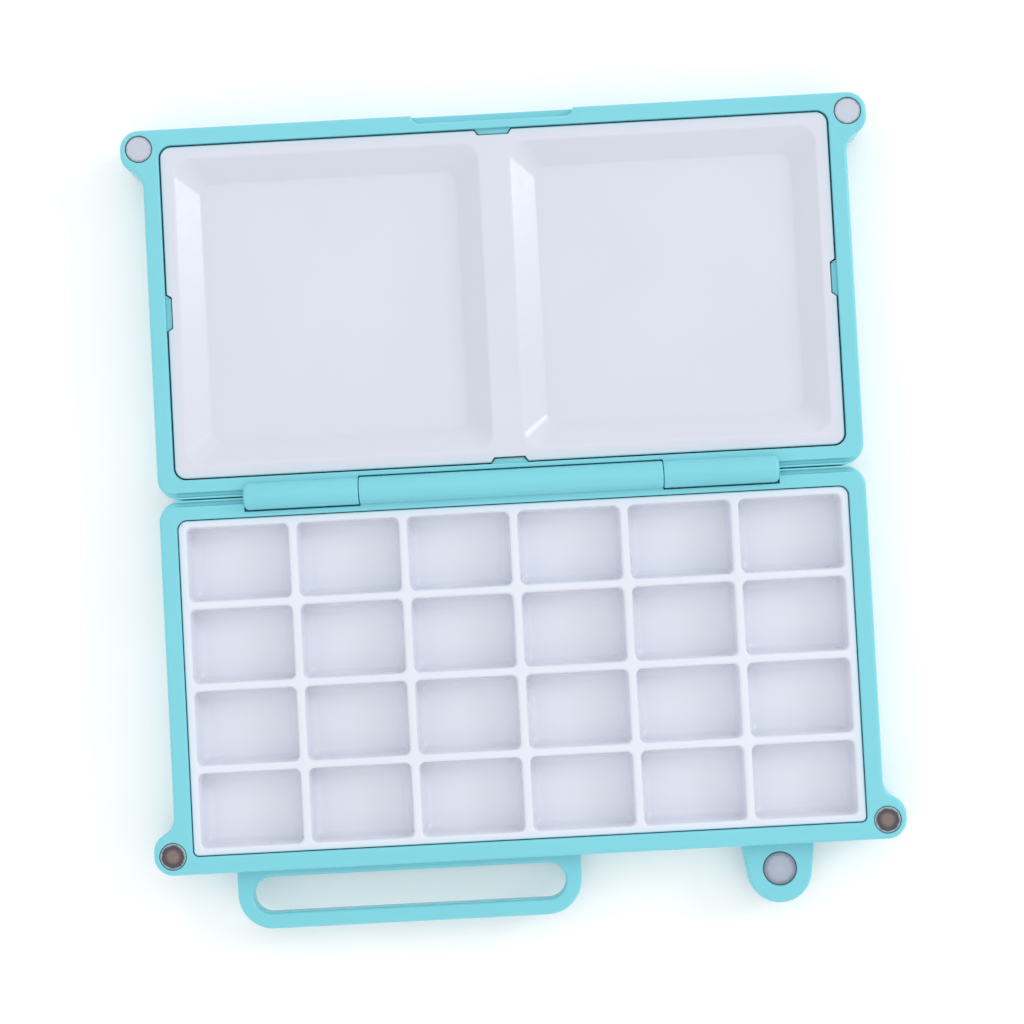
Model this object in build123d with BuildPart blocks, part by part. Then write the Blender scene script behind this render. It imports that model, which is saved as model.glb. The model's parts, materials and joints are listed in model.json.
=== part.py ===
from build123d import *
import os

# Folding watercolour palette, lying open: the paint side at -Y, the lid at +Y, the hinge along X.
# The origin is the middle of the paint side's outer face. All sizes are in millimetres.

# Case halves
case_width = 106.0  # each half, side face to side face
case_depth = 55.6  # each half, free face to hinge face
half_height = 9.5  # each half, outer face to rim
rim_width = 2.5  # wall round the tray pocket
floor_thickness = 1.2
hinge_corner_radius = 3.2  # upright corners beside the hinge
outer_edge_radius = 1.0  # edge round the outer face
rim_edge_radius = 0.6  # outer edge of the rim
hinge_edge_radius = 1.2  # edge of the rim along the hinge
pocket_edge_chamfer = 0.2  # inner edge of the rim

# Hinge
hinge_face_gap = 0.8  # between the two hinge faces when open
rim_gap = 0.2  # between the two rims when closed
hinge_length = 80.0
centre_knuckle_length = 45.4
knuckle_radius = 2.05
knuckle_clearance = 0.3  # round the other half's knuckle
knuckle_end_gap = 0.2  # between neighbouring knuckles, and past the outer ones
knuckle_outer_end_radius = 0.7
knuckle_inner_end_radius = 0.2
pin_radius = 0.75
pin_running_clearance = 0.05  # in the centre knuckle, on the radius
pin_engagement = 7.0  # length inside the centre knuckle
pin_end_gap = 0.3  # past the pin's blind end
pin_recess = 0.4  # outer end below the knuckle's end face
pin_chamfer = 0.15

# Magnets and what holds them
corner_magnet_radius = 2.0
corner_magnet_thickness = 2.0
tab_magnet_radius = 2.5
tab_magnet_thickness = 2.0
magnet_fit = 0.08  # round a magnet, on the radius
magnet_recess = 0.1  # face of a magnet below its surface
magnet_chamfer = 0.2
ear_wall = 0.8  # plastic round a corner magnet's hole
ear_offset = 0.35  # side face to the magnet's middle
ear_stretch = 0.7  # straight part of an ear, towards the hinge
ear_blend_radius = 3.0  # hollow curve from an ear to the side face

# Handle loop and magnet tab, both on the paint side's free face
loop_drop = 3.5  # rim to the upper face of loop and tab
loop_thickness = 3.0
loop_edge_radius = 0.5
loop_root = 1.3  # how far loop and tab run into the wall
handle_mid_x = -18.5
handle_width = 51.9
handle_reach = 9.2  # out from the free face
handle_bar = 2.4  # width of the loop's bar
handle_slot_width = 5.4
handle_corner_radius = 5.3
tab_mid_x = 37.3
tab_magnet_reach = 4.05  # free face to the magnet's middle
tab_end_reach = 4.35  # free face to the middle of the tab's round end
tab_radius = 4.85
tab_root_width = 10.6

# Finger notch in the lid's free edge
finger_notch_length = 24.4
finger_notch_width = 1.3
finger_notch_depth = 1.8
finger_notch_corner_radius = 1.0

# Both trays
tray_gap = 0.25  # all round, between tray and pocket
tray_recess = 0.3  # top of a tray below the rim
tray_lip_radius = 0.3  # outer edge of a tray's top

# Paint tray
pan_columns = 6
pan_rows = 4
pan_border_x = 1.15
pan_border_y = 1.1
pan_divider_x = 1.2  # wall between neighbouring columns, at the top
pan_divider_y = 1.15  # wall between neighbouring rows, at the top
pan_corner_radius = 0.9
pan_depth = 4.5
pan_floor = 1.0
pan_skirt = 1.2  # outer wall of the tray, open underneath
pan_slope = 0.43  # width of a well's side, seen from above
pan_foot_radius = 0.8
pan_lip_chamfer = 0.3
pan_tray_free_corner = 0.8
pan_tray_hinge_corner = 1.4

# Mixing tray
mixing_tray_corner = 1.7
mixing_border = 1.85
mixing_ridge = 4.6  # flat top between the two wells
mixing_depth = 2.4
mixing_floor = 1.0
mixing_slope = 3.7  # width of a well's sloping side, seen from above
mixing_corner_radius = 2.6
mixing_floor_corner_radius = 1.8
mixing_foot_radius = 0.9
mixing_lip_radius = 0.8
mixing_skirt = 1.2  # outer wall of the tray, open underneath
mixing_side = 1.1  # wall under a sloping side
mixing_deck = 1.9  # solid band under the tray's top

# Snap lugs on the lid's pocket wall, each in a notch of the mixing tray's edge
lug_length = 5.3
lug_reach = 0.6  # past the gap round the tray
lug_height = 1.2
lug_drop = 0.4  # tray top to lug top
lug_slant = 0.5  # each end, seen from above
lug_clearance = 0.2
lug_root = 0.5  # how far a lug runs into the wall

# Places that follow from the sizes above
sides = {"left": -1, "right": 1}
half_width = case_width / 2
mid_depth = case_depth / 2
hinge_y = mid_depth + hinge_face_gap / 2
hinge_z = half_height + rim_gap / 2
base_free_y = -mid_depth
lid_mid_y = 2 * hinge_y
lid_free_y = lid_mid_y + mid_depth
corner_hole_radius = corner_magnet_radius + magnet_fit
tab_hole_radius = tab_magnet_radius + magnet_fit
ear_radius = corner_hole_radius + ear_wall
ear_x = half_width + ear_offset
base_ear_y = base_free_y + ear_radius
lid_ear_y = lid_free_y - ear_radius
tray_width = case_width - 2 * rim_width - 2 * tray_gap
tray_depth = case_depth - 2 * rim_width - 2 * tray_gap
tray_top_z = half_height - tray_recess
tray_height = tray_top_z - floor_thickness
centre_knuckle_end = centre_knuckle_length / 2
outer_knuckle_start = centre_knuckle_end + knuckle_end_gap
outer_knuckle_end = hinge_length / 2
pin_inner_end = centre_knuckle_end - pin_engagement
pin_outer_end = outer_knuckle_end - pin_recess
loop_top_z = half_height - loop_drop
loop_bottom_z = loop_top_z - loop_thickness
tab_magnet_y = base_free_y - tab_magnet_reach
lug_top_z = tray_top_z - lug_drop
lug_bottom_z = lug_top_z - lug_height
notch_bottom_z = lug_bottom_z - lug_clearance


def tray_outline(mid_y, low_corner, high_corner, growth, height):
    """The outline of a tray, grown by some width all round, as a sketch at one height."""
    with BuildSketch(Plane.XY.offset(height)) as outline:
        with Locations((0, mid_y)):
            Rectangle(tray_width + 2 * growth, tray_depth + 2 * growth)
        fillet(outline.vertices().group_by(Axis.Y)[0], low_corner + growth)
        fillet(outline.vertices().group_by(Axis.Y)[-1], high_corner + growth)
    return outline.sketch


def case_half(mid_y, hinge_side, pocket):
    """A case half with ears, rounded edges, pocket and magnet holes, its hinge still missing."""
    hinge_face_y = mid_y + hinge_side * mid_depth
    ear_y = mid_y - hinge_side * (mid_depth - ear_radius)
    free_face_y = mid_y - hinge_side * mid_depth
    stretch_y = ear_y + hinge_side * ear_stretch
    ear_end_y = stretch_y + hinge_side * ear_radius
    with BuildPart() as half:
        with BuildSketch() as outline:
            with Locations((0, mid_y)):
                Rectangle(case_width, case_depth)
            # each ear: two circles and what lies between them, and the free face drawn out to it
            for side in sides.values():
                with Locations((side * ear_x, ear_y), (side * ear_x, stretch_y)):
                    Circle(ear_radius)
                with Locations((side * ear_x, (ear_y + stretch_y) / 2)):
                    Rectangle(2 * ear_radius, ear_stretch)
            with Locations((0, (ear_y + free_face_y) / 2)):
                Rectangle(2 * ear_x, ear_radius)
            for side in sides.values():
                ear_end = outline.vertices().sort_by_distance((side * half_width, ear_end_y))[0]
                fillet(ear_end, ear_blend_radius)
                corner = outline.vertices().sort_by_distance((side * half_width, hinge_face_y))[0]
                fillet(corner, hinge_corner_radius)
        extrude(amount=half_height)
        fillet(half.faces().sort_by(Axis.Z)[0].edges(), outer_edge_radius)
        fillet(half.faces().sort_by(Axis.Z)[-1].edges(), rim_edge_radius)
        # the rim's hinge edge: a square corner less a quarter circle is taken off
        inner_y = hinge_face_y - hinge_side * hinge_edge_radius
        with BuildSketch(Plane.YZ.offset(-half_width)):
            with Locations(((hinge_face_y + inner_y) / 2, half_height - hinge_edge_radius / 2)):
                Rectangle(hinge_edge_radius, hinge_edge_radius)
            with Locations((inner_y, half_height - hinge_edge_radius)):
                Circle(hinge_edge_radius, mode=Mode.SUBTRACT)
        extrude(amount=case_width, mode=Mode.SUBTRACT)
        add(pocket)
        extrude(amount=half_height, mode=Mode.SUBTRACT)
        rim = half.faces().sort_by(Axis.Z)[-1]
        chamfer(rim.inner_wires()[0].edges(), pocket_edge_chamfer)
        with Locations((-ear_x, ear_y, half_height), (ear_x, ear_y, half_height)):
            Hole(corner_hole_radius, depth=magnet_recess + corner_magnet_thickness)
    return half.part


def round_hinge(radius, start_x, end_x):
    """A cylinder round the hinge axis."""
    with BuildPart() as cylinder:
        with BuildSketch(Plane.YZ.offset(start_x)):
            with Locations((hinge_y, hinge_z)):
                Circle(radius)
        extrude(amount=end_x - start_x)
    return cylinder.part


def knuckle(start_x, end_x, start_radius, end_radius):
    """A hinge knuckle with rounded ends, still without its bore."""
    with BuildPart() as barrel:
        add(round_hinge(knuckle_radius, start_x, end_x))
        fillet(barrel.faces().sort_by(Axis.X)[0].edges(), start_radius)
        fillet(barrel.faces().sort_by(Axis.X)[-1].edges(), end_radius)
    return barrel.part


def disc_magnet(x, y, face_z, radius, thickness):
    """A disc magnet with its face up."""
    with BuildPart() as disc:
        with BuildSketch(Plane.XY.offset(face_z - thickness)):
            with Locations((x, y)):
                Circle(radius)
        extrude(amount=thickness)
        chamfer(disc.edges().filter_by(GeomType.CIRCLE), magnet_chamfer)
    return disc.part


def lug_outline(growth, height):
    """The four snap lugs from above, each grown by a clearance, as one sketch at one height."""
    half_length = lug_length / 2 + growth
    reach = lug_reach + growth
    places = (
        Location((0, lid_mid_y - tray_depth / 2), (0, 0, 0)),
        Location((0, lid_mid_y + tray_depth / 2), (0, 0, 180)),
        Location((-tray_width / 2, lid_mid_y), (0, 0, -90)),
        Location((tray_width / 2, lid_mid_y), (0, 0, 90)),
    )
    with BuildSketch(Plane.XY.offset(height)) as outline:
        with Locations(*places):
            Polygon(
                (-half_length, -tray_gap - lug_root),
                (half_length, -tray_gap - lug_root),
                (half_length, 0),
                (half_length - lug_slant, reach),
                (-half_length + lug_slant, reach),
                (-half_length, 0),
                align=None,
            )
    return outline.sketch


os.makedirs("parts", exist_ok=True)

# Paint side
base_pocket = tray_outline(
    0, pan_tray_free_corner, pan_tray_hinge_corner, tray_gap, floor_thickness
)

with BuildPart() as handle_loop:
    with BuildSketch(Plane.XY.offset(loop_bottom_z)) as handle_outline:
        with Locations((handle_mid_x, base_free_y + loop_root)):
            Rectangle(handle_width, handle_reach + loop_root, align=(Align.CENTER, Align.MAX))
        fillet(handle_outline.vertices().group_by(Axis.Y)[0], handle_corner_radius)
        slot_y = base_free_y - handle_reach + handle_bar + handle_slot_width / 2
        with Locations((handle_mid_x, slot_y)):
            SlotOverall(handle_width - 2 * handle_bar, handle_slot_width, mode=Mode.SUBTRACT)
    extrude(amount=loop_thickness)
    fillet(handle_loop.faces().sort_by(Axis.Z)[0].edges(), loop_edge_radius)
    fillet(handle_loop.faces().sort_by(Axis.Z)[-1].edges(), loop_edge_radius)

with BuildPart() as magnet_tab:
    with BuildSketch(Plane.XY.offset(loop_bottom_z)):
        with Locations((tab_mid_x, base_free_y - tab_end_reach)):
            Circle(tab_radius)
        with Locations((tab_mid_x, base_free_y)):
            Rectangle(tab_root_width, 2 * loop_root)
        make_hull()
    extrude(amount=loop_thickness)
    fillet(magnet_tab.faces().sort_by(Axis.Z)[0].edges(), loop_edge_radius)
    fillet(magnet_tab.faces().sort_by(Axis.Z)[-1].edges(), loop_edge_radius)
    with Locations((tab_mid_x, tab_magnet_y, loop_top_z)):
        Hole(tab_hole_radius, depth=magnet_recess + tab_magnet_thickness)

with BuildPart() as base_shell:
    add(case_half(0, 1, base_pocket))
    add(handle_loop)
    add(magnet_tab)
    for side in sides.values():
        ends = sorted((side * centre_knuckle_end, side * (outer_knuckle_end + knuckle_end_gap)))
        add(round_hinge(knuckle_radius + knuckle_clearance, *ends), mode=Mode.SUBTRACT)
    add(
        knuckle(
            -centre_knuckle_end,
            centre_knuckle_end,
            knuckle_inner_end_radius,
            knuckle_inner_end_radius,
        )
    )
    for side in sides.values():
        ends = sorted((side * (pin_inner_end - pin_end_gap), side * outer_knuckle_start))
        add(round_hinge(pin_radius + pin_running_clearance, *ends), mode=Mode.SUBTRACT)
base_shell.part.label = "base_shell"
export_step(base_shell.part, "parts/base_shell.step")

# Paint tray: one well, repeated over the grid
well_width = (
    tray_width - 2 * pan_border_x - (pan_columns - 1) * pan_divider_x
) / pan_columns
well_depth = (tray_depth - 2 * pan_border_y - (pan_rows - 1) * pan_divider_y) / pan_rows

with BuildPart() as paint_well:
    with BuildSketch(Plane.XY.offset(tray_top_z - pan_depth)):
        RectangleRounded(
            well_width - 2 * pan_slope, well_depth - 2 * pan_slope, pan_corner_radius
        )
    with BuildSketch(Plane.XY.offset(tray_top_z)):
        RectangleRounded(well_width, well_depth, pan_corner_radius)
    loft(ruled=True)
    fillet(paint_well.faces().sort_by(Axis.Z)[0].edges(), pan_foot_radius)

with BuildPart() as pan_tray:
    add(tray_outline(0, pan_tray_free_corner, pan_tray_hinge_corner, 0, floor_thickness))
    extrude(amount=tray_height)
    fillet(pan_tray.faces().sort_by(Axis.Z)[-1].edges(), tray_lip_radius)
    with GridLocations(
        well_width + pan_divider_x, well_depth + pan_divider_y, pan_columns, pan_rows
    ):
        add(paint_well, mode=Mode.SUBTRACT)
    deck = pan_tray.faces().sort_by(Axis.Z)[-1]
    chamfer([edge for rim in deck.inner_wires() for edge in rim.edges()], pan_lip_chamfer)
    with BuildSketch(Plane.XY.offset(floor_thickness)):
        RectangleRounded(
            tray_width - 2 * pan_skirt, tray_depth - 2 * pan_skirt, pan_corner_radius
        )
    extrude(amount=tray_height - pan_depth - pan_floor, mode=Mode.SUBTRACT)
pan_tray.part.label = "pan_tray"
export_step(pan_tray.part, "parts/pan_tray.step")

with BuildPart() as tab_magnet:
    face_z = loop_top_z - magnet_recess
    add(disc_magnet(tab_mid_x, tab_magnet_y, face_z, tab_magnet_radius, tab_magnet_thickness))
tab_magnet.part.label = "tab_magnet"
export_step(tab_magnet.part, "parts/tab_magnet.step")

# Lid
lid_pocket = tray_outline(
    lid_mid_y, mixing_tray_corner, mixing_tray_corner, tray_gap, floor_thickness
)

with BuildPart() as lid_shell:
    add(case_half(lid_mid_y, -1, lid_pocket))
    with BuildSketch(Plane.XY.offset(half_height)):
        with Locations((0, lid_free_y)):
            RectangleRounded(
                finger_notch_length, 2 * finger_notch_width, finger_notch_corner_radius
            )
    extrude(amount=-finger_notch_depth, mode=Mode.SUBTRACT)
    add(lug_outline(0, lug_bottom_z))
    extrude(amount=lug_height)
    add(
        round_hinge(
            knuckle_radius + knuckle_clearance, -outer_knuckle_start, outer_knuckle_start
        ),
        mode=Mode.SUBTRACT,
    )
    add(
        knuckle(
            -outer_knuckle_end,
            -outer_knuckle_start,
            knuckle_outer_end_radius,
            knuckle_inner_end_radius,
        )
    )
    add(
        knuckle(
            outer_knuckle_start,
            outer_knuckle_end,
            knuckle_inner_end_radius,
            knuckle_outer_end_radius,
        )
    )
    for side in sides.values():
        ends = sorted((side * outer_knuckle_start, side * outer_knuckle_end))
        add(round_hinge(pin_radius, *ends), mode=Mode.SUBTRACT)
lid_shell.part.label = "lid_shell"
export_step(lid_shell.part, "parts/lid_shell.step")

# Mixing tray: two wells with sloping sides, hollow underneath round their undersides
mixing_width = (tray_width - 2 * mixing_border - mixing_ridge) / 2
mixing_length = tray_depth - 2 * mixing_border
mixing_mid_x = (mixing_width + mixing_ridge) / 2
mixing_floor_z = tray_top_z - mixing_depth


def mixing_wells(growth, bottom_z, top_z):
    """Both wells as solids, their sides grown outwards by a wall, between two heights."""
    with BuildPart() as wells:
        for side in sides.values():
            for height, inset, corner in (
                (bottom_z, mixing_slope, mixing_floor_corner_radius),
                (top_z, 0, mixing_corner_radius),
            ):
                with BuildSketch(Plane.XY.offset(height)):
                    with Locations((side * mixing_mid_x, lid_mid_y)):
                        RectangleRounded(
                            mixing_width + 2 * growth - 2 * inset,
                            mixing_length + 2 * growth - 2 * inset,
                            corner + growth,
                        )
            loft(ruled=True)
    return wells.part


with BuildPart() as well_hollows:
    add(mixing_wells(0, mixing_floor_z, tray_top_z))
    fillet(well_hollows.faces().group_by(Axis.Z)[0].edges(), mixing_foot_radius)

with BuildPart() as underside_hollow:
    add(
        tray_outline(
            lid_mid_y,
            mixing_tray_corner,
            mixing_tray_corner,
            -mixing_skirt,
            floor_thickness,
        )
    )
    extrude(amount=tray_height - mixing_deck)
    add(
        mixing_wells(mixing_side, mixing_floor_z - mixing_floor, tray_top_z - mixing_floor),
        mode=Mode.SUBTRACT,
    )

with BuildPart() as mixing_tray:
    add(tray_outline(lid_mid_y, mixing_tray_corner, mixing_tray_corner, 0, floor_thickness))
    extrude(amount=tray_height)
    fillet(mixing_tray.faces().sort_by(Axis.Z)[-1].edges(), tray_lip_radius)
    add(well_hollows, mode=Mode.SUBTRACT)
    deck = mixing_tray.faces().sort_by(Axis.Z)[-1]
    fillet([edge for rim in deck.inner_wires() for edge in rim.edges()], mixing_lip_radius)
    add(underside_hollow, mode=Mode.SUBTRACT)
    add(lug_outline(lug_clearance, notch_bottom_z))
    extrude(amount=half_height, mode=Mode.SUBTRACT)
mixing_tray.part.label = "mixing_tray"
export_step(mixing_tray.part, "parts/mixing_tray.step")

# Corner magnets, and the pins pressed into the lid's knuckles
corner_magnet_z = half_height - magnet_recess
for side_name, side in sides.items():
    for half_name, ear_y in (("base", base_ear_y), ("lid", lid_ear_y)):
        with BuildPart() as corner_magnet:
            add(
                disc_magnet(
                    side * ear_x,
                    ear_y,
                    corner_magnet_z,
                    corner_magnet_radius,
                    corner_magnet_thickness,
                )
            )
        corner_magnet.part.label = f"{half_name}_magnet_{side_name}"
        export_step(corner_magnet.part, f"parts/{half_name}_magnet_{side_name}.step")

    with BuildPart() as hinge_pin:
        add(round_hinge(pin_radius, *sorted((side * pin_inner_end, side * pin_outer_end))))
        chamfer(hinge_pin.edges().filter_by(GeomType.CIRCLE), pin_chamfer)
    hinge_pin.part.label = f"hinge_pin_{side_name}"
    export_step(hinge_pin.part, f"parts/hinge_pin_{side_name}.step")
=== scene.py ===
"""Dressed model of a small folding watercolour palette, laid out as a Blender add-on."""

import json
import math

import bmesh
import bpy
import numpy as np
from bpy.props import FloatProperty, FloatVectorProperty, PointerProperty
from mathutils import Euler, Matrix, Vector


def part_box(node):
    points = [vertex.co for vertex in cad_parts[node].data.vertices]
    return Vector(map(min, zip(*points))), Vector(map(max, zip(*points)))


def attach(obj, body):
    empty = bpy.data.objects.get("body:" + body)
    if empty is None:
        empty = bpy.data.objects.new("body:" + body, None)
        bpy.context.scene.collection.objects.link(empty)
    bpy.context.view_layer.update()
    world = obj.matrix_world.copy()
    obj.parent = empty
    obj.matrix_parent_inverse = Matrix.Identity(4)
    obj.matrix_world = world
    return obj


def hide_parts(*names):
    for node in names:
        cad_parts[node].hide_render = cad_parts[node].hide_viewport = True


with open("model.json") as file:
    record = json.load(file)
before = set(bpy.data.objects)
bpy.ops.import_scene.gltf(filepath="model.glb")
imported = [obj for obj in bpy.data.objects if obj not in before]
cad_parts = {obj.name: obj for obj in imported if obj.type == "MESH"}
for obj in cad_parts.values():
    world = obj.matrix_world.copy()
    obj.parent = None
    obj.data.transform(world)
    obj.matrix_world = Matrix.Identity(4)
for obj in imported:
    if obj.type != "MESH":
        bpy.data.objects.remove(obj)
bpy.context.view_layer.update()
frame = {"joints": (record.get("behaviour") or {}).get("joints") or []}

bl_info = {
    "name": "Folding Watercolour Palette",
    "version": (1, 0, 0),
    "blender": (4, 5, 0),
    "location": "3D View > Sidebar > Palette",
    "description": "Builds the pieces of a small folding watercolour palette around its frame",
    "category": "Add Mesh",
}

MM = 0.001

# Places read from the frame
HINGE = np.array(frame["joints"][0]["pos_m"])


def node_box(node):
    """The lowest and highest corner of a node, as two arrays."""
    low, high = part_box(node)
    return np.array(low), np.array(high)


PAN_LOW, PAN_HIGH = node_box("pan_tray")
MIX_LOW, MIX_HIGH = node_box("mixing_tray")
BASE_LOW, BASE_HIGH = node_box("base_shell")
LID_HIGH = node_box("lid_shell")[1]
MAGNET_LOW, MAGNET_HIGH = node_box("base_magnet_right")
TAB_LOW, TAB_HIGH = node_box("tab_magnet")
BASE_MAGNET_MID = (MAGNET_LOW + MAGNET_HIGH) / 2
LID_MAGNET_MID = sum(node_box("lid_magnet_right")) / 2
TAB_MID = (TAB_LOW + TAB_HIGH) / 2
MIRROR = np.array((-1.0, 1.0))


def length(name, description, millimetres):
    """A size in millimetres as a length property."""
    return FloatProperty(
        name=name,
        description=description,
        default=millimetres * MM,
        min=0.0,
        unit="LENGTH",
        precision=5,
    )


def tint(name, description, colour):
    """A colour property, in linear red, green and blue."""
    return FloatVectorProperty(
        name=name, description=description, default=colour, size=3, min=0.0, max=1.0, subtype="COLOR"
    )


class CaseSizes(bpy.types.PropertyGroup):
    """Sizes of the two hinged halves."""

    rim_recess: length("Tray recess", "Rim to the top of a tray", 0.3)
    base_gap: length("Paint tray gap", "Between the paint tray and its pocket", 0.11)
    lid_gap: length("Mixing tray gap", "Between the mixing tray and its pocket", 0.2)
    foot_radius: length("Foot rounding", "Edge round the outer face", 1.0)
    rim_radius: length("Rim rounding", "Outer edge of the rim", 0.6)
    hinge_rim_radius: length("Hinge edge rounding", "Edge of the rim along the hinge", 0.9)
    groove_width: length("Hinge groove", "From the hinge face to the rim's flat top", 0.98)
    groove_depth: length("Hinge groove depth", "Rim to the bottom of the groove", 0.72)
    groove_lip: length("Hinge lip", "Width of the lip at the hinge face", 0.27)
    groove_lip_drop: length("Hinge lip drop", "Rim to the top of the lip", 0.24)
    groove_radius: length("Hinge groove rounding", "Edges of lip and groove", 0.12)
    pocket_radius: length("Pocket edge rounding", "Inner edge of the rim", 0.22)
    pocket_floor_radius: length("Pocket floor rounding", "Foot of the pocket's wall", 0.3)
    hinge_corner_radius: length("Hinge corner", "Upright corners beside the hinge", 3.2)
    ear_radius: length("Ear", "Round ear about a corner magnet", 2.88)
    ear_offset: length("Ear offset", "Side face to a corner magnet's middle", 0.35)
    ear_stretch: length("Ear stretch", "Straight part of an ear, towards the hinge", 0.7)
    ear_blend_radius: length("Ear blend", "Hollow curve from an ear to the side", 3.0)
    face_gap: length("Hinge face gap", "Between the hinge faces when open", 0.18)
    knuckle_radius: length("Knuckle", "Radius of the hinge barrel", 2.05)
    knuckle_clearance: length("Knuckle clearance", "Round the other half's knuckle", 0.24)
    knuckle_end_gap: length("Knuckle end gap", "Between neighbouring knuckles", 0.1)
    centre_knuckle_end: length("Centre knuckle end", "Half the centre knuckle's length", 22.7)
    hinge_end: length("Hinge end", "Half the whole hinge's length", 40.0)
    knuckle_inner_round: length("Knuckle inner end", "Rounding where knuckles meet", 0.2)
    knuckle_outer_round: length("Knuckle outer end", "Rounding at the hinge's ends", 0.7)
    pin_radius: length("Pin", "Radius of the hinge pins", 0.75)
    pin_clearance: length("Pin clearance", "Round a pin in the centre knuckle", 0.05)
    pin_depth: length("Pin depth", "Length of a pin in the centre knuckle", 7.3)
    magnet_fit: length("Magnet fit", "Round a magnet, on the radius", 0.05)
    magnet_recess: length("Magnet recess", "Face of a magnet below its surface", 0.1)
    hole_chamfer: length("Hole chamfer", "Mouth of a magnet's hole", 0.12)
    magnet_edge: length("Magnet edge", "Rounded edge of a magnet", 0.2)
    pin_edge: length("Pin edge", "Rounded edge of a pin's ends", 0.15)


class FittingSizes(bpy.types.PropertyGroup):
    """Sizes of the handle loop, the magnet tab, the finger notch and the snap lugs."""

    plate_drop: length("Drop", "Rim to the upper face of loop and tab", 3.5)
    plate_thickness: length("Thickness", "Thickness of loop and tab", 3.0)
    plate_radius: length("Edge rounding", "Edges of loop and tab", 0.5)
    plate_root: length("Root", "How far loop and tab run into the wall", 1.3)
    handle_middle: FloatProperty(
        name="Handle middle", description="Middle of the loop along X", default=-0.0185, unit="LENGTH"
    )
    handle_width: length("Handle width", "Outer width of the loop", 51.9)
    handle_bar: length("Handle bar", "Width of the loop's bar", 2.4)
    handle_slot: length("Handle slot", "Width of the slot", 5.4)
    handle_corner: length("Handle corner", "Outer corners of the loop", 5.3)
    tab_radius: length("Tab", "Round end of the tab", 4.85)
    tab_root_width: length("Tab root", "Width of the tab at the wall", 10.6)
    notch_length: length("Finger notch length", "Along the lid's free edge", 24.4)
    notch_width: length("Finger notch width", "Into the rim", 1.3)
    notch_depth: length("Finger notch depth", "Down from the rim", 1.8)
    lug_length: length("Lug length", "Along the pocket's wall", 5.3)
    lug_reach: length("Lug reach", "Into the tray's notch", 0.6)
    lug_height: length("Lug height", "From underside to top", 1.2)
    lug_drop: length("Lug drop", "Top of the tray to the top of the lug", 0.4)
    lug_slant: length("Lug slant", "Each end of a lug, seen from above", 0.5)
    lug_clearance: length("Lug clearance", "Between a lug and its notch", 0.2)


class TraySizes(bpy.types.PropertyGroup):
    """Sizes of the paint tray and the mixing tray."""

    lip_radius: length("Tray edge rounding", "Outer edge of a tray's top", 0.3)
    pan_border_x: length("Border along X", "Outer edge to the first column", 1.15)
    pan_border_y: length("Border along Y", "Outer edge to the first row", 1.1)
    pan_divider_x: length("Divider along X", "Between neighbouring columns", 1.2)
    pan_divider_y: length("Divider along Y", "Between neighbouring rows", 1.15)
    pan_corner: length("Well corner", "Upright corners of a paint well", 0.9)
    pan_depth: length("Well depth", "Top to the floor of a paint well", 4.5)
    pan_floor: length("Well floor", "Thickness under the paint wells", 1.0)
    pan_skirt: length("Paint tray skirt", "Outer wall of the paint tray", 1.2)
    pan_slope: length("Well slope", "Width of a well's side from above", 0.43)
    pan_foot: length("Well foot", "Rounding at the foot of a paint well", 1.6)
    pan_lip: length("Well lip", "Rounding at the mouth of a paint well", 0.42)
    pan_free_corner: length("Free corner", "Corners beside the free edge", 0.8)
    pan_hinge_corner: length("Hinge corner", "Corners beside the hinge", 1.4)
    mixing_corner: length("Mixing tray corner", "Outer corners", 1.7)
    mixing_border: length("Mixing border", "Outer edge to a mixing well", 1.85)
    mixing_ridge: length("Ridge", "Flat top between the two mixing wells", 4.6)
    mixing_depth: length("Mixing depth", "Top to the floor of a mixing well", 2.4)
    mixing_floor: length("Mixing floor", "Thickness under a mixing well", 1.0)
    mixing_slope: length("Mixing slope", "Width of the sloping side from above", 3.7)
    mixing_mouth_corner: length("Mouth corner", "Corners at the well's mouth", 2.6)
    mixing_floor_corner: length("Floor corner", "Corners at the well's floor", 1.8)
    mixing_foot: length("Mixing foot", "Rounding at the foot of the side", 0.7)
    mixing_lip: length("Mixing lip", "Rounding at the well's mouth", 0.8)
    mixing_skirt: length("Skirt", "Outer wall of the mixing tray", 1.2)
    mixing_side: length("Side", "Thickness of a sloping side", 1.1)
    mixing_deck: length("Deck", "Thickness of the top between the wells", 1.9)


class PaletteColours(bpy.types.PropertyGroup):
    """Colours of the plastics and the metals."""

    case: tint("Case", "Aqua plastic", (0.190, 0.600, 0.685))
    pan_tray: tint("Paint tray", "White plastic", (0.705, 0.735, 0.815))
    mixing_tray: tint("Mixing tray", "White plastic", (0.632, 0.660, 0.742))
    # painted bounce light: the case's colour painted on the trays' outer edges
    tray_edge_painted_bounce: tint("Tray edges", "Tone that the case throws on a tray's edge", (0.84, 1.0, 1.0))
    lid_magnet: tint("Lid magnets", "Bright nickel", (0.52, 0.56, 0.64))
    # painted dark reflection: the base's corner magnets, the same as the lid's, get a dark brown-grey
    # instead of bright nickel
    base_magnet: tint("Base magnets", "Tarnished nickel", (0.23, 0.18, 0.17))
    # painted shade: a dark ring near the edge of the base's corner magnets
    base_magnet_painted_shade_ring: tint("Base magnet ring", "Dark tarnish", (0.10, 0.09, 0.10))
    # painted reflection: the case's teal painted on the bevel of the base's corner magnets
    base_magnet_painted_reflection: tint("Base magnet edge", "Bevel that mirrors the case", (0.36, 0.46, 0.48))
    tab_magnet: tint("Tab magnet", "Dull nickel", (0.37, 0.42, 0.51))
    pin: tint("Pins", "Drawn steel wire", (0.60, 0.60, 0.62))
    floor: tint("Floor", "Pale studio floor", (0.97, 0.97, 0.97))


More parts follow.
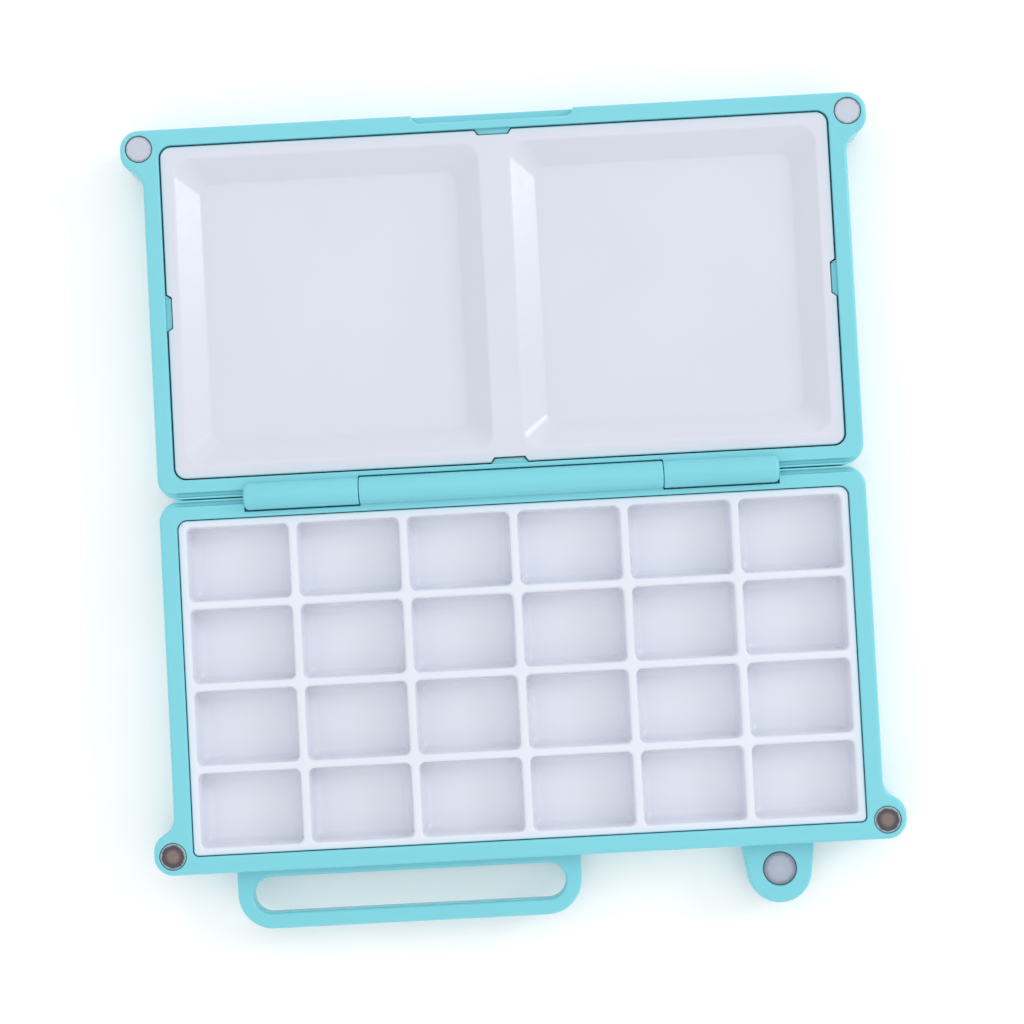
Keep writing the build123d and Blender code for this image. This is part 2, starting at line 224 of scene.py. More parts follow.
class StudioSettings(bpy.types.PropertyGroup):
    """Camera and light."""

    camera_distance: length("Camera distance", "Rim to the camera", 300.0)
    aim_x: FloatProperty(name="Aim X", description="Point looked at", default=-0.0001, unit="LENGTH")
    aim_y: FloatProperty(name="Aim Y", description="Point looked at", default=0.0238, unit="LENGTH")
    tilt_x: FloatProperty(
        name="Tilt X", description="Lean about X", default=math.radians(1.35), unit="ROTATION"
    )
    tilt_y: FloatProperty(
        name="Tilt Y", description="Lean about Y", default=math.radians(0.51), unit="ROTATION"
    )
    turn_z: FloatProperty(
        name="Turn", description="Turn about Z", default=math.radians(-3.04), unit="ROTATION"
    )
    focal_pixels: FloatProperty(
        name="Focal length", description="In pixels of the square picture", default=2006.0
    )
    floor_half: length("Floor", "Half the floor's width", 1500.0)
    back_place: FloatVectorProperty(
        name="Back light", description="Place", default=(1.25, 0.50, 0.70), subtype="TRANSLATION"
    )
    back_size: length("Back light size", "Side of the light", 420.0)
    back_power: FloatProperty(name="Back light power", description="In watts", default=3.8)
    fill_place: FloatVectorProperty(
        name="Fill light", description="Place", default=(0.10, 0.30, 1.4), subtype="TRANSLATION"
    )
    fill_size: length("Fill light size", "Side of the light", 1200.0)
    fill_power: FloatProperty(name="Fill light power", description="In watts", default=0.9)
    room_strength: FloatProperty(name="Room", description="Strength of the pale room", default=1.04)


# Numbers of points along curves, enough to look smooth
ARC_STEPS = 10
SHORT_ARC_STEPS = 6
PLATE_ARC_STEPS = 8
MIXING_ARC_STEPS = 14
PROFILE_STEPS = 44
BARREL_END_STEPS = 7
LATHE_STEPS = 96
PIN_STEPS = 48
HANDLE_ARC_STEPS = 20
TAB_ARC_STEPS = 60
WELL_CORNER_STEPS = 13  # odd, so that one point falls on a cell's corner
MIXING_CORNER_STEPS = 17

# Numbers of stations along a case half's outline
BARREL_STATIONS = 3
SHORT_HOLLOW_STATIONS = 4
LONG_HOLLOW_STATIONS = 6
FACE_STATIONS = 9
CORNER_STATIONS = 18
SIDE_STATIONS = 8
BLEND_STATIONS = 12
EAR_SIDE_STATIONS = 14
EAR_END_STATIONS = 18
POCKET_CORNER_STATIONS = 20
FREE_STATIONS = 12
BEFORE_NOTCH_STATIONS = 8
NOTCH_END_STATIONS = 12
NOTCH_STATIONS = 4

PAN_COLUMNS = 6
PAN_ROWS = 4

# Small lengths that no other size depends on
SUPPORT = 0.06 * MM  # width of the strip that keeps a flat face flat beside a curve
WELD = 0.0005 * MM
GROOVE_LEAN = 0.1 * MM  # slant of the groove's inner wall
NOTCH_RIM_RADIUS = 0.35 * MM
NOTCH_SOFTNESS = 0.12 * MM  # rounding of the step's edges
NOTCH_LEAST_WIDTH = 0.02 * MM
BORE_LEAD = 1.0 * MM  # before an outer knuckle's inner end
BORE_OVERRUN = 0.02 * MM  # past its outer end
LUG_ROOT = 0.5 * MM  # into the pocket's wall
LUG_EDGE = 0.15 * MM
LUG_CORNER = 0.3 * MM
LUG_NOTCH_ROOT = 0.6 * MM  # out of the tray's side
LUG_NOTCH_RISE = 0.5 * MM  # over the tray's top
UNDERSIDE_INSET = 0.05 * MM
UNDERSIDE_CORNERS = np.array((2.4, 2.0, 1.6)) * MM
# how far in the painted bounce tint reaches from a tray's outline
PAINTED_BOUNCE_WIDTH = 1.1 * MM

# Shares of a size that they go with
SUPPORT_SHARE = 0.3  # of a straight run, the most that the strips beside its curves take
LIP_FOOT = 1.5  # the groove's floor starts this many lip widths in
GROOVE_FADE = 0.45  # of the hinge corner, where the groove runs out
NOTCH_SOFT_SHARE = 0.4  # of the step's width, the most that is rounded off
PAN_MARGIN = 0.42  # of a divider, flat outside a paint well's mouth
PAN_FLOOR_CORNER = 0.75  # of a paint well's upright corner
PAN_SHARES = np.array([0.0, 0.5, 0.985, 1.0])  # points from a side's middle to its corner
MIXING_MARGIN = 0.6  # of the border, flat outside a mixing well's mouth
MIXING_SHARES = np.array([0.0, 0.5, 0.99, 1.0])
FLOOR_CORNER_LOSS = 0.45  # of the floor's corner, lost on the flat floor
LIP_RUN = 1.6  # of the lip's rounding, the flat strips beside it
SKIRT_FOOT = 0.5  # of the lip's rounding
LUG_SOFT_STEP = 0.3  # of a lug's edge, halfway round it

# Camera, the height that it looks at, and the angle from which an edge stays sharp
PICTURE_PIXELS = 1024
SENSOR_WIDTH = 36.0
CLIP_START = 0.01
BASE_RIM_Z = 9.5 * MM
CREASE = math.radians(32.0)

# Noise in the materials, in waves to the metre, and the range that its values mostly fill
CLOUD_WAVES = 45.0
RIPPLE_WAVES = 140.0
HAZE_WAVES = 900.0
GRAIN_WAVES = 2600.0
BLOTCH_WAVES = 1400.0
SMEAR_WAVES = 3500.0
PITTING_WAVES = 5200.0
NOISE_RANGE = (0.3, 0.7)
WIRE_NOISE_RANGE = (0.35, 0.65)

# Plastic: shades of its cloudiness, share of grain in the ripple, and how strongly it shows
CLOUD_SHADES = (0.985, 1.015)
GRAIN_SHARE = 0.10
RIPPLE_STRENGTH = 0.35
RIPPLE_HEIGHT = 0.02 * MM
PLASTIC_ROUGHNESS_SPREAD = (-0.03, 0.05)
PLASTIC_IOR = 1.49

# Metal: shades of the wire, how far blotches reach, and how strongly the pitting shows
WIRE_SHADES = (0.86, 1.08)
BLOTCH_REACH = 0.12 * MM
PITTING_STRENGTH = 0.25
PITTING_DEPTH = 0.01 * MM
METAL_ROUGHNESS_SPREAD = (-0.06, 0.10)

# Colour, roughness, share and depth of the light under the surface, and the tray whose outer edge
# gets a painted bounce tint from the case
PLASTICS = {
    "aqua_moulding": ("case", 0.22, 0.25, 0.8 * MM, None),
    "paint_tray_moulding": ("pan_tray", 0.20, 0.2, 0.7 * MM, (PAN_LOW, PAN_HIGH)),
    "mixing_tray_moulding": ("mixing_tray", 0.20, 0.2, 0.7 * MM, (MIX_LOW, MIX_HIGH)),
    "studio_floor": ("floor", 0.60, 0.0, 1.0 * MM, None),
}

# Roughness, the disc's middle, and a colour and its shade at distances in millimetres from there; the
# shades paint light and shade on the discs
METALS = {
    # painted shade: the lid discs darken to half at their edge, with a slightly lighter middle
    "lid_disc_plating": (
        0.45,
        LID_MAGNET_MID,
        ((0.0, "lid_magnet", 1.04), (1.6, "lid_magnet", 1.0), (1.95, "lid_magnet", 0.5)),
    ),
    # painted reflection and shade: a dark middle, a dark ring near the edge and the case's teal on
    # the bevel
    "base_disc_plating": (
        0.40,
        BASE_MAGNET_MID,
        (
            (0.0, "base_magnet", 1.0),
            (0.7, "base_magnet", 1.0),
            (1.25, "base_magnet_painted_shade_ring", 1.0),
            (1.6, "base_magnet_painted_shade_ring", 1.0),
            (1.85, "base_magnet_painted_reflection", 1.0),
            (2.1, "base_magnet_painted_reflection", 1.0),
        ),
    ),
    # painted light and shade: a lighter middle and a dark ring at the disc's edge
    "tab_disc_plating": (
        0.42,
        TAB_MID,
        (
            (0.0, "tab_magnet", 1.12),
            (1.7, "tab_magnet", 1.0),
            (2.2, "tab_magnet", 0.62),
            (2.6, "tab_magnet", 0.55),
        ),
    ),
    "pin_wire": (0.25, None, ((0.0, "pin", 1.0),)),
}


# Surfaces


def grid_faces(rows, columns, closed_rows=False, closed_columns=False):
    """Quads over a grid of points numbered row by row; a closed grid joins its last to its first."""
    index = np.arange(rows * columns).reshape(rows, columns)
    if closed_rows:
        index = np.vstack([index, index[:1]])
    if closed_columns:
        index = np.hstack([index, index[:, :1]])
    corners = (index[:-1, :-1], index[:-1, 1:], index[1:, 1:], index[1:, :-1])
    return np.stack(corners, axis=-1).reshape(-1, 4)


class Skin:
    """Points and faces of one piece, gathered patch by patch and welded at the end."""

    def __init__(self):
        self.points = []
        self.faces = []
        self.total = 0

    def add(self, points, faces):
        """Points of any shape, and faces that count from the first of them."""
        points = np.asarray(points, float).reshape(-1, 3)
        self.points.append(points)
        self.faces.extend((np.asarray(faces) + self.total).tolist())
        self.total += len(points)

    def grid(self, points, closed_rows=False, closed_columns=False):
        """A surface of two parameters, its points in rows and columns."""
        rows, columns = points.shape[:2]
        self.add(points, grid_faces(rows, columns, closed_rows, closed_columns))

    def cap(self, loop):
        """One flat face over a closed loop."""
        self.add(loop, [np.arange(len(loop))])

    def sleeve(self, points):
        """A surface closed all round, with a flat face over its first and its last column."""
        self.grid(points, closed_rows=True)
        self.cap(points[:, 0])
        self.cap(points[:, -1])

    def mesh(self, name):
        """The welded mesh, its faces turned outwards."""
        mesh = bpy.data.meshes.new(name)
        mesh.from_pydata(np.vstack(self.points).tolist(), [], self.faces)
        work = bmesh.new()
        work.from_mesh(mesh)
        bmesh.ops.remove_doubles(work, verts=work.verts, dist=WELD)
        bmesh.ops.dissolve_degenerate(work, dist=WELD, edges=work.edges)
        bmesh.ops.recalc_face_normals(work, faces=work.faces)
        work.to_mesh(mesh)
        work.free()
        return mesh


def on_circle(centre, radius, angles):
    """Points on a circle and their outward directions: centre plus radius times (cosine, sine)."""
    direction = np.stack([np.cos(angles), np.sin(angles)], axis=-1)
    return np.asarray(centre) + radius * direction, direction


def sweep_angles(start, end, count):
    """Evenly spaced angles between two in degrees, both counted, in radians."""
    return np.radians(np.linspace(start, end, count))


def facing(along_x, along_y, way):
    """Points at two coordinates, either of which may be one number, all facing one way."""
    points = np.stack(np.broadcast_arrays(along_x, along_y), axis=-1)
    return points, np.tile(way, (len(points), 1))


def rounded(corners, radii, steps=ARC_STEPS):
    """Straight runs between corners, each inner corner replaced by an arc that touches both runs.

    The arc starts at radius times the tangent of half the turn before the corner, its centre one
    radius to the side that the path turns to. One more point stands a little before and after
    each arc, so that flat stretches stay flat under smooth shading.
    """
    corners = np.asarray(corners, float)
    radii = np.asarray(radii, float)
    runs = np.diff(corners, axis=0)
    lengths = np.linalg.norm(runs, axis=1)
    ways = runs / lengths[:, None]
    cross = ways[:-1, 0] * ways[1:, 1] - ways[:-1, 1] * ways[1:, 0]
    turn = np.arctan2(cross, (ways[:-1] * ways[1:]).sum(axis=1))
    reach = radii * np.abs(np.tan(turn / 2))
    ends = np.concatenate([[0.0], reach, [0.0]])
    spare = np.minimum(SUPPORT, SUPPORT_SHARE * (lengths - ends[:-1] - ends[1:]))
    start = corners[1:-1] - ways[:-1] * reach[:, None]
    side = np.stack([-ways[:-1, 1], ways[:-1, 0]], axis=-1) * np.sign(turn)[:, None]
    centre = start + side * radii[:, None]
    angles = turn[:, None] * np.linspace(0.0, 1.0, steps)
    arm = start - centre
    cosine, sine = np.cos(angles), np.sin(angles)
    arcs = np.stack(
        [
            centre[:, :1] + cosine * arm[:, :1] - sine * arm[:, 1:],
            centre[:, 1:] + sine * arm[:, :1] + cosine * arm[:, 1:],
        ],
        axis=-1,
    )
    before = start - ways[:-1] * spare[:-1, None]
    after = corners[1:-1] + ways[1:] * (reach + spare[1:])[:, None]
    middle = np.concatenate([before[:, None], arcs, after[:, None]], axis=1).reshape(-1, 2)
    return np.vstack([corners[:1], middle, corners[-1:]])


def lathe(profile, centre, axis="Z", steps=LATHE_STEPS):
    """A profile of (radius, height) turned about an axis through a centre, closed all round."""
    around = np.linspace(0.0, 2 * math.pi, steps, endpoint=False)
    radius, height = profile[:, 0], profile[:, 1]
    side_1 = np.outer(np.cos(around), radius)
    side_2 = np.outer(np.sin(around), radius)
    along = np.broadcast_to(height, side_1.shape)
    order = (side_1, side_2, along) if axis == "Z" else (along, side_1, side_2)
    return np.stack(order, axis=-1) + np.asarray(centre)


def wall_stack(place, outward, offsets, heights):
    """A profile carried along an outline: each station's point moved inwards by each offset.

    place and outward are one row per station; offsets and heights one row per station or one for
    all. The result holds a row per station and a column per profile point.
    """
    stations = len(place)
    offsets = np.broadcast_to(offsets, (stations, np.shape(offsets)[-1]))
    heights = np.broadcast_to(heights, offsets.shape)
    flat = place[:, None, :] - outward[:, None, :] * offsets[:, :, None]
    return np.dstack([flat, heights])


def softened_cylinder(start, end, radius, edge):
    """Section of a round piece with rounded edges, from the middle of one end to the other's."""
    corners = [(0.0, start), (radius, start), (radius, end), (0.0, end)]
    return rounded(corners, [edge, edge], SHORT_ARC_STEPS)


def tool_object(name, mesh):
    """A mesh as an object in the scene."""
    thing = bpy.data.objects.new(name, mesh)
    bpy.context.scene.collection.objects.link(thing)
    return thing


def combine(mesh, other, operation):
    """Two closed meshes joined or one cut from the other, as a new mesh."""
    body = tool_object("body_in_work", mesh)
    tool = tool_object("tool_in_work", other)
    step = body.modifiers.new("combine", "BOOLEAN")
    step.operation = operation
    step.solver = "EXACT"
    step.object = tool
    graph = bpy.context.evaluated_depsgraph_get()
    result = bpy.data.meshes.new_from_object(body.evaluated_get(graph))
    bpy.data.objects.remove(body)
    bpy.data.objects.remove(tool)
    return result


def place_piece(name, mesh, body, node, material):
    """The mesh as a finished piece that stands for one node and rides on its body."""
    mesh.name = name
    mesh.materials.clear()
    mesh.materials.append(material)
    mesh.shade_smooth()
    mesh.set_sharp_from_angle(angle=CREASE)
    piece = tool_object(name, mesh)
    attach(piece, body)
    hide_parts(node)


# Materials


class NodeBoard:
    """Adds and joins the nodes of one material."""

    def __init__(self, name):
        self.material = bpy.data.materials.new(name)
        self.material.use_nodes = True
        self.tree = self.material.node_tree
        self.shader = self.tree.nodes["Principled BSDF"]
        self.place = self.add("ShaderNodeTexCoord").outputs["Object"]

    def add(self, kind, **values):
        """A node with its settings and unlinked inputs."""
        node = self.tree.nodes.new(kind)
        for key, value in values.items():
            if key in node.inputs:
                node.inputs[key].default_value = value
            else:
                setattr(node, key, value)
        return node

    def feed(self, socket, value):
        """Gives an input its value: a plain one, or the output of another node."""
        if isinstance(value, bpy.types.NodeSocket):
            self.tree.links.new(value, socket)
        else:
            socket.default_value = value

    def noise(self, scale, detail=2.0, roughness=0.5):
        """Noise over the piece, its scale in waves to the metre."""
        node = self.add("ShaderNodeTexNoise", Scale=scale, Detail=detail, Roughness=roughness)
        self.feed(node.inputs["Vector"], self.place)
        return node.outputs["Fac"]

    def between(self, factor, low, high, start=0.0, end=1.0):
        """The factor's range from start to end, drawn out to low to high."""
        node = self.add("ShaderNodeMapRange")
        for key, value in (("From Min", start), ("From Max", end), ("To Min", low), ("To Max", high)):
            node.inputs[key].default_value = value
        self.feed(node.inputs["Value"], factor)
        return node.outputs["Result"]

    def mix(self, factor, first, second, blend_type="MIX"):
        """A colour from two, each of them a plain colour or the output of another node."""
        node = self.add("ShaderNodeMix", data_type="RGBA", blend_type=blend_type)
        colour_inputs = [socket for socket in node.inputs if socket.type == "RGBA"]
        for socket, colour in zip(colour_inputs, (first, second)):
            self.feed(socket, (*colour, 1.0) if isinstance(colour, tuple) else colour)
        self.feed(node.inputs[0], factor)
        return next(socket for socket in node.outputs if socket.type == "RGBA")

    def vector(self, operation, first, second=None, output="Vector"):
        """The result of a sum with vectors."""
        node = self.add("ShaderNodeVectorMath", operation=operation)
        self.feed(node.inputs[0], first)
        if second is not None:
            self.feed(node.inputs[1], second)
        return node.outputs[output]

    def number(self, operation, first, second):
        """The result of a sum with two numbers."""
        node = self.add("ShaderNodeMath", operation=operation)
        self.feed(node.inputs[0], first)
        self.feed(node.inputs[1], second)
        return node.outputs["Value"]

    def ramp(self, value, stops):
        """A colour read from stops of (value, colour), in rising order from nought."""
        widest = stops[-1][0]
        node = self.add("ShaderNodeValToRGB")
        elements = node.color_ramp.elements
        while len(elements) < len(stops):
            elements.new(0.5)
        for element, (stop, colour) in zip(elements, stops):
            element.position = stop / widest
            element.color = (*colour, 1.0)
        self.feed(node.inputs["Fac"], self.between(value, 0.0, 1.0, 0.0, widest))
        return node.outputs["Color"]

    def edge_share(self, low, high, width):
        """One at the outline of a box seen from above, falling to nought over a width inwards.

        With the middle m and half size h of the box, the value drawn out is the larger of
        |x - mx| - hx and |y - my| - hy, which is nought on the outline and negative inside.
        """
        apart = self.vector("SUBTRACT", self.place, (low + high) / 2)
        beyond = self.vector("SUBTRACT", self.vector("ABSOLUTE", apart), (high - low) / 2)
        split = self.add("ShaderNodeSeparateXYZ")
        self.feed(split.inputs["Vector"], beyond)
        larger = self.number("MAXIMUM", split.outputs["X"], split.outputs["Y"])
        return self.between(larger, 0.0, 1.0, -width, 0.0)

    def bump(self, height, strength, distance):
        """A bumped normal on the shader."""
        node = self.add("ShaderNodeBump", Strength=strength, Distance=distance)
        self.feed(node.inputs["Height"], height)
        self.feed(self.shader.inputs["Normal"], node.outputs["Normal"])

    def shaded(self, values):
        """The material, once its shader's inputs have their values."""
        for key, value in values.items():
            self.feed(self.shader.inputs[key], value)
        return self.material


def scaled(colour, factor):
    """A colour made lighter or darker."""
    return tuple(min(1.0, channel * factor) for channel in colour)


def spread_round(value, spread):
    """The two ends of a range, given by their distances from a value."""
    return value + spread[0], value + spread[1]


def moulded_plastic(name, colour, roughness, subsurface, depth, edge=None):
    """Glossy moulded plastic: faint cloudiness in the colour, a slow ripple and fine grain.

    edge holds the lowest and highest corner of a tray and the tint painted on its outer edge as light
    bounced from the case.
    """
    board = NodeBoard(name)
    cloud = board.between(board.noise(CLOUD_WAVES, detail=3.0), 0.0, 1.0, *NOISE_RANGE)
    tone = board.mix(cloud, *(scaled(colour, shade) for shade in CLOUD_SHADES))
    # painted bounce light: a tray's outer edge is multiplied by the case's cyan tint
    if edge is not None:
        low, high, painted_bounce_tone = edge
        share = board.edge_share(low, high, PAINTED_BOUNCE_WIDTH)
        tone = board.mix(share, tone, painted_bounce_tone, "MULTIPLY")
    haze = board.noise(HAZE_WAVES, detail=4.0, roughness=0.6)
    slow = board.between(board.noise(RIPPLE_WAVES, detail=1.0), 0.0, 1.0)
    fine = board.between(board.noise(GRAIN_WAVES), 0.0, GRAIN_SHARE)
    board.bump(board.number("ADD", slow, fine), RIPPLE_STRENGTH, RIPPLE_HEIGHT)
    rough = spread_round(roughness, PLASTIC_ROUGHNESS_SPREAD)
    return board.shaded(
        {
            "Base Color": tone,
            "Roughness": board.between(haze, *rough, *NOISE_RANGE),
            "IOR": PLASTIC_IOR,
            "Subsurface Weight": subsurface,
            "Subsurface Radius": (1.0, 1.0, 1.0),
            "Subsurface Scale": depth,
        }
    )


def plated_metal(name, roughness, centre, stops):
    """Plated metal: its tone changes from a disc's middle outwards as painted light and shade, with
    fine pitting.

    stops holds distances in metres and their colours; the distance is taken from the centre with
    every coordinate made positive, so that a mirrored pair shares one material. With one stop
    the metal has that colour all over.
    """
    board = NodeBoard(name)
    blotch = board.noise(BLOTCH_WAVES, detail=4.0, roughness=0.6)
    if len(stops) == 1:
        share = board.between(blotch, 0.0, 1.0, *WIRE_NOISE_RANGE)
        tone = board.mix(share, *(scaled(stops[0][1], shade) for shade in WIRE_SHADES))
    else:
        flat = board.vector("MULTIPLY", board.vector("ABSOLUTE", board.place), (1.0, 1.0, 0.0))
        middle = (abs(centre[0]), abs(centre[1]), 0.0)
        stray = board.between(blotch, -BLOTCH_REACH, BLOTCH_REACH, *NOISE_RANGE)
        distance = board.vector("DISTANCE", flat, middle, "Value")
        # the ramp paints light and shade on the discs: lighter middles, dark rings at the edges and
        # the case's reflection on a bevel
        tone = board.ramp(board.number("ADD", distance, stray), stops)
    smear = board.noise(SMEAR_WAVES, detail=3.0)
    board.bump(board.noise(PITTING_WAVES, detail=3.0), PITTING_STRENGTH, PITTING_DEPTH)
    rough = spread_round(roughness, METAL_ROUGHNESS_SPREAD)
    rough_share = board.between(smear, *rough, *NOISE_RANGE)
    return board.shaded({"Base Color": tone, "Roughness": rough_share, "Metallic": 1.0})


def palette_material(context, name):
    """The named material of this palette, made when first asked for."""
    made = bpy.data.materials.get(name)
    if made is not None:
        return made
    colours = context.scene.palette_colours
    if name in PLASTICS:
        key, roughness, subsurface, depth, box = PLASTICS[name]
        # a tray's box and the tint painted on its edge as bounce light from the case
        edge = None if box is None else (*box, tuple(colours.tray_edge_painted_bounce))
        colour = tuple(getattr(colours, key))
        return moulded_plastic(name, colour, roughness, subsurface, depth, edge)
    roughness, centre, tones = METALS[name]
    stops = [(stop * MM, scaled(getattr(colours, key), shade)) for stop, key, shade in tones]
    return plated_metal(name, roughness, centre, stops)


# Case halves


def filled(path):
    """A profile brought to its full number of points by repeating the first one."""
    return np.vstack([np.repeat(path[:1], PROFILE_STEPS - len(path), axis=0), path])


def plain_top(rim_z, radius):
    """The wall's top outside: straight up, then a quarter circle inwards, as (inset, height)."""
    arc, _ = on_circle(
        (radius, rim_z - radius), radius, sweep_angles(180, 90, PROFILE_STEPS - 2)
    )
    return np.vstack([(0.0, rim_z - radius - SUPPORT), arc, (radius + SUPPORT, rim_z)])


def grooved_top(rim_z, case):
    """The wall's top beside the knuckles: a low lip at the face, a shallow groove, then the rim."""
    lip, lip_z = case.groove_lip, rim_z - case.groove_lip_drop
    width, low_z = case.groove_width, rim_z - case.groove_depth
    corners = [
        (0.0, low_z - 6 * SUPPORT),
        (0.0, lip_z),
        (lip, lip_z),
        (LIP_FOOT * lip, low_z),
        (width - GROOVE_LEAN, low_z),
        (width, rim_z),
        (width + 4 * SUPPORT, rim_z),
    ]
    return filled(rounded(corners, [case.groove_radius] * 5, SHORT_ARC_STEPS))


def round_top(rim_z, radius, hinge_inset, hinge_rise, outside):
    """The wall's top cut by a circle about the hinge axis, either a barrel or a hollow.

    The circle meets the wall's face and the rim; a barrel goes the long way round, outside the
    wall, and a hollow the short way, inside it.
    """
    start = -math.acos(hinge_inset / radius)
    end = -math.asin(hinge_rise / radius)
    if outside:
        end -= 2 * math.pi
    centre = (-hinge_inset, rim_z + hinge_rise)
    arc, _ = on_circle(centre, radius, np.linspace(start, end, PROFILE_STEPS - 2))
    below = (0.0, arc[0, 1] - SUPPORT)
    beyond = (arc[-1, 0] + SUPPORT, rim_z)
    return np.vstack([below, arc, beyond])


def stepped_top(rim_z, width, depth, radius):
    """The wall's top with a step of some width and depth, for the finger notch."""
    width = max(width, NOTCH_LEAST_WIDTH)
    shelf_z = rim_z - depth
    soft = min(NOTCH_SOFTNESS, NOTCH_SOFT_SHARE * width)
    corners = [
        (0.0, shelf_z - 4 * SUPPORT),
        (0.0, shelf_z),
        (width, shelf_z),
        (width, rim_z),
        (width + radius + 2 * SUPPORT, rim_z),
    ]
    return filled(rounded(corners, (soft, soft, radius), (PROFILE_STEPS - 2) // 3 - 2))


def barrel_stations(start, end, start_round, end_round, radius):
    """Places along a knuckle and its radius there: full, with a quarter circle at each end."""
    rise = sweep_angles(0, 90, BARREL_END_STEPS)
    grow = radius - start_round + start_round * np.sin(rise)
    shrink = radius - end_round + end_round * np.sin(rise[::-1])
    places = np.concatenate(
        [start + start_round * (1 - np.cos(rise)), end - end_round * (1 - np.cos(rise[::-1]))]
    )
    return places, np.concatenate([grow, shrink])


def hinge_side_stations(case, rim_z, own_centre, arc_x):
    """Stations from the middle of the hinge side to its corner: places and wall tops.

    own_centre tells whether this half carries the centre knuckle or the two outer ones.
    """
    inset = case.face_gap / 2
    rise = HINGE[2] - rim_z
    gap = case.knuckle_end_gap
    hollow = round_top(rim_z, case.knuckle_radius + case.knuckle_clearance, inset, rise, False)
    plain = grooved_top(rim_z, case)
    places, tops = [], []

    def straight(start, end, top, count):
        places.extend(np.linspace(start, end, count))
        tops.extend([top] * count)

    def barrel(start, end, start_round, end_round):
        stops, radii = barrel_stations(start, end, start_round, end_round, case.knuckle_radius)
        places.extend(stops)
        tops.extend(round_top(rim_z, radius, inset, rise, True) for radius in radii)

    inner = case.centre_knuckle_end
    if own_centre:
        full = round_top(rim_z, case.knuckle_radius, inset, rise, True)
        straight(0.0, inner / 2, full, BARREL_STATIONS)
        barrel(inner / 2 + 2 * SUPPORT, inner, 0.0, case.knuckle_inner_round)
        straight(inner, case.hinge_end + gap, hollow, SHORT_HOLLOW_STATIONS)
        straight(case.hinge_end + gap, arc_x - SUPPORT, plain, FACE_STATIONS)
    else:
        straight(0.0, inner + gap, hollow, LONG_HOLLOW_STATIONS)
        barrel(inner + gap, case.hinge_end, case.knuckle_inner_round, case.knuckle_outer_round)
        straight(case.hinge_end, arc_x - SUPPORT, plain, FACE_STATIONS)
    return np.array(places), np.array(tops)


def free_side_stations(case, fittings, rim_z, notched, start_x):
    """Stations from an ear to the middle of the free side: places along X and wall tops."""
    plain = plain_top(rim_z, case.rim_radius)
    if not notched:
        places = np.linspace(start_x, 0.0, FREE_STATIONS)
        return places, np.repeat(plain[None], len(places), axis=0)
    end = fittings.notch_length / 2
    width = fittings.notch_width
    turn = sweep_angles(0, 90, NOTCH_END_STATIONS)
    widths = width * np.sin(turn)
    curve = width * (1 - np.cos(turn)) - end
    radii = case.rim_radius + (NOTCH_RIM_RADIUS - case.rim_radius) * np.sin(turn)
    tops = [plain] * BEFORE_NOTCH_STATIONS
    for step, radius in zip(widths, radii):
        tops.append(stepped_top(rim_z, step, fittings.notch_depth, radius))
    tops += [tops[-1]] * NOTCH_STATIONS
    before = np.linspace(start_x, -end, BEFORE_NOTCH_STATIONS)
    middle = np.linspace(curve[-1] + SUPPORT, 0.0, NOTCH_STATIONS)
    return np.concatenate([before, curve, middle]), np.array(tops)


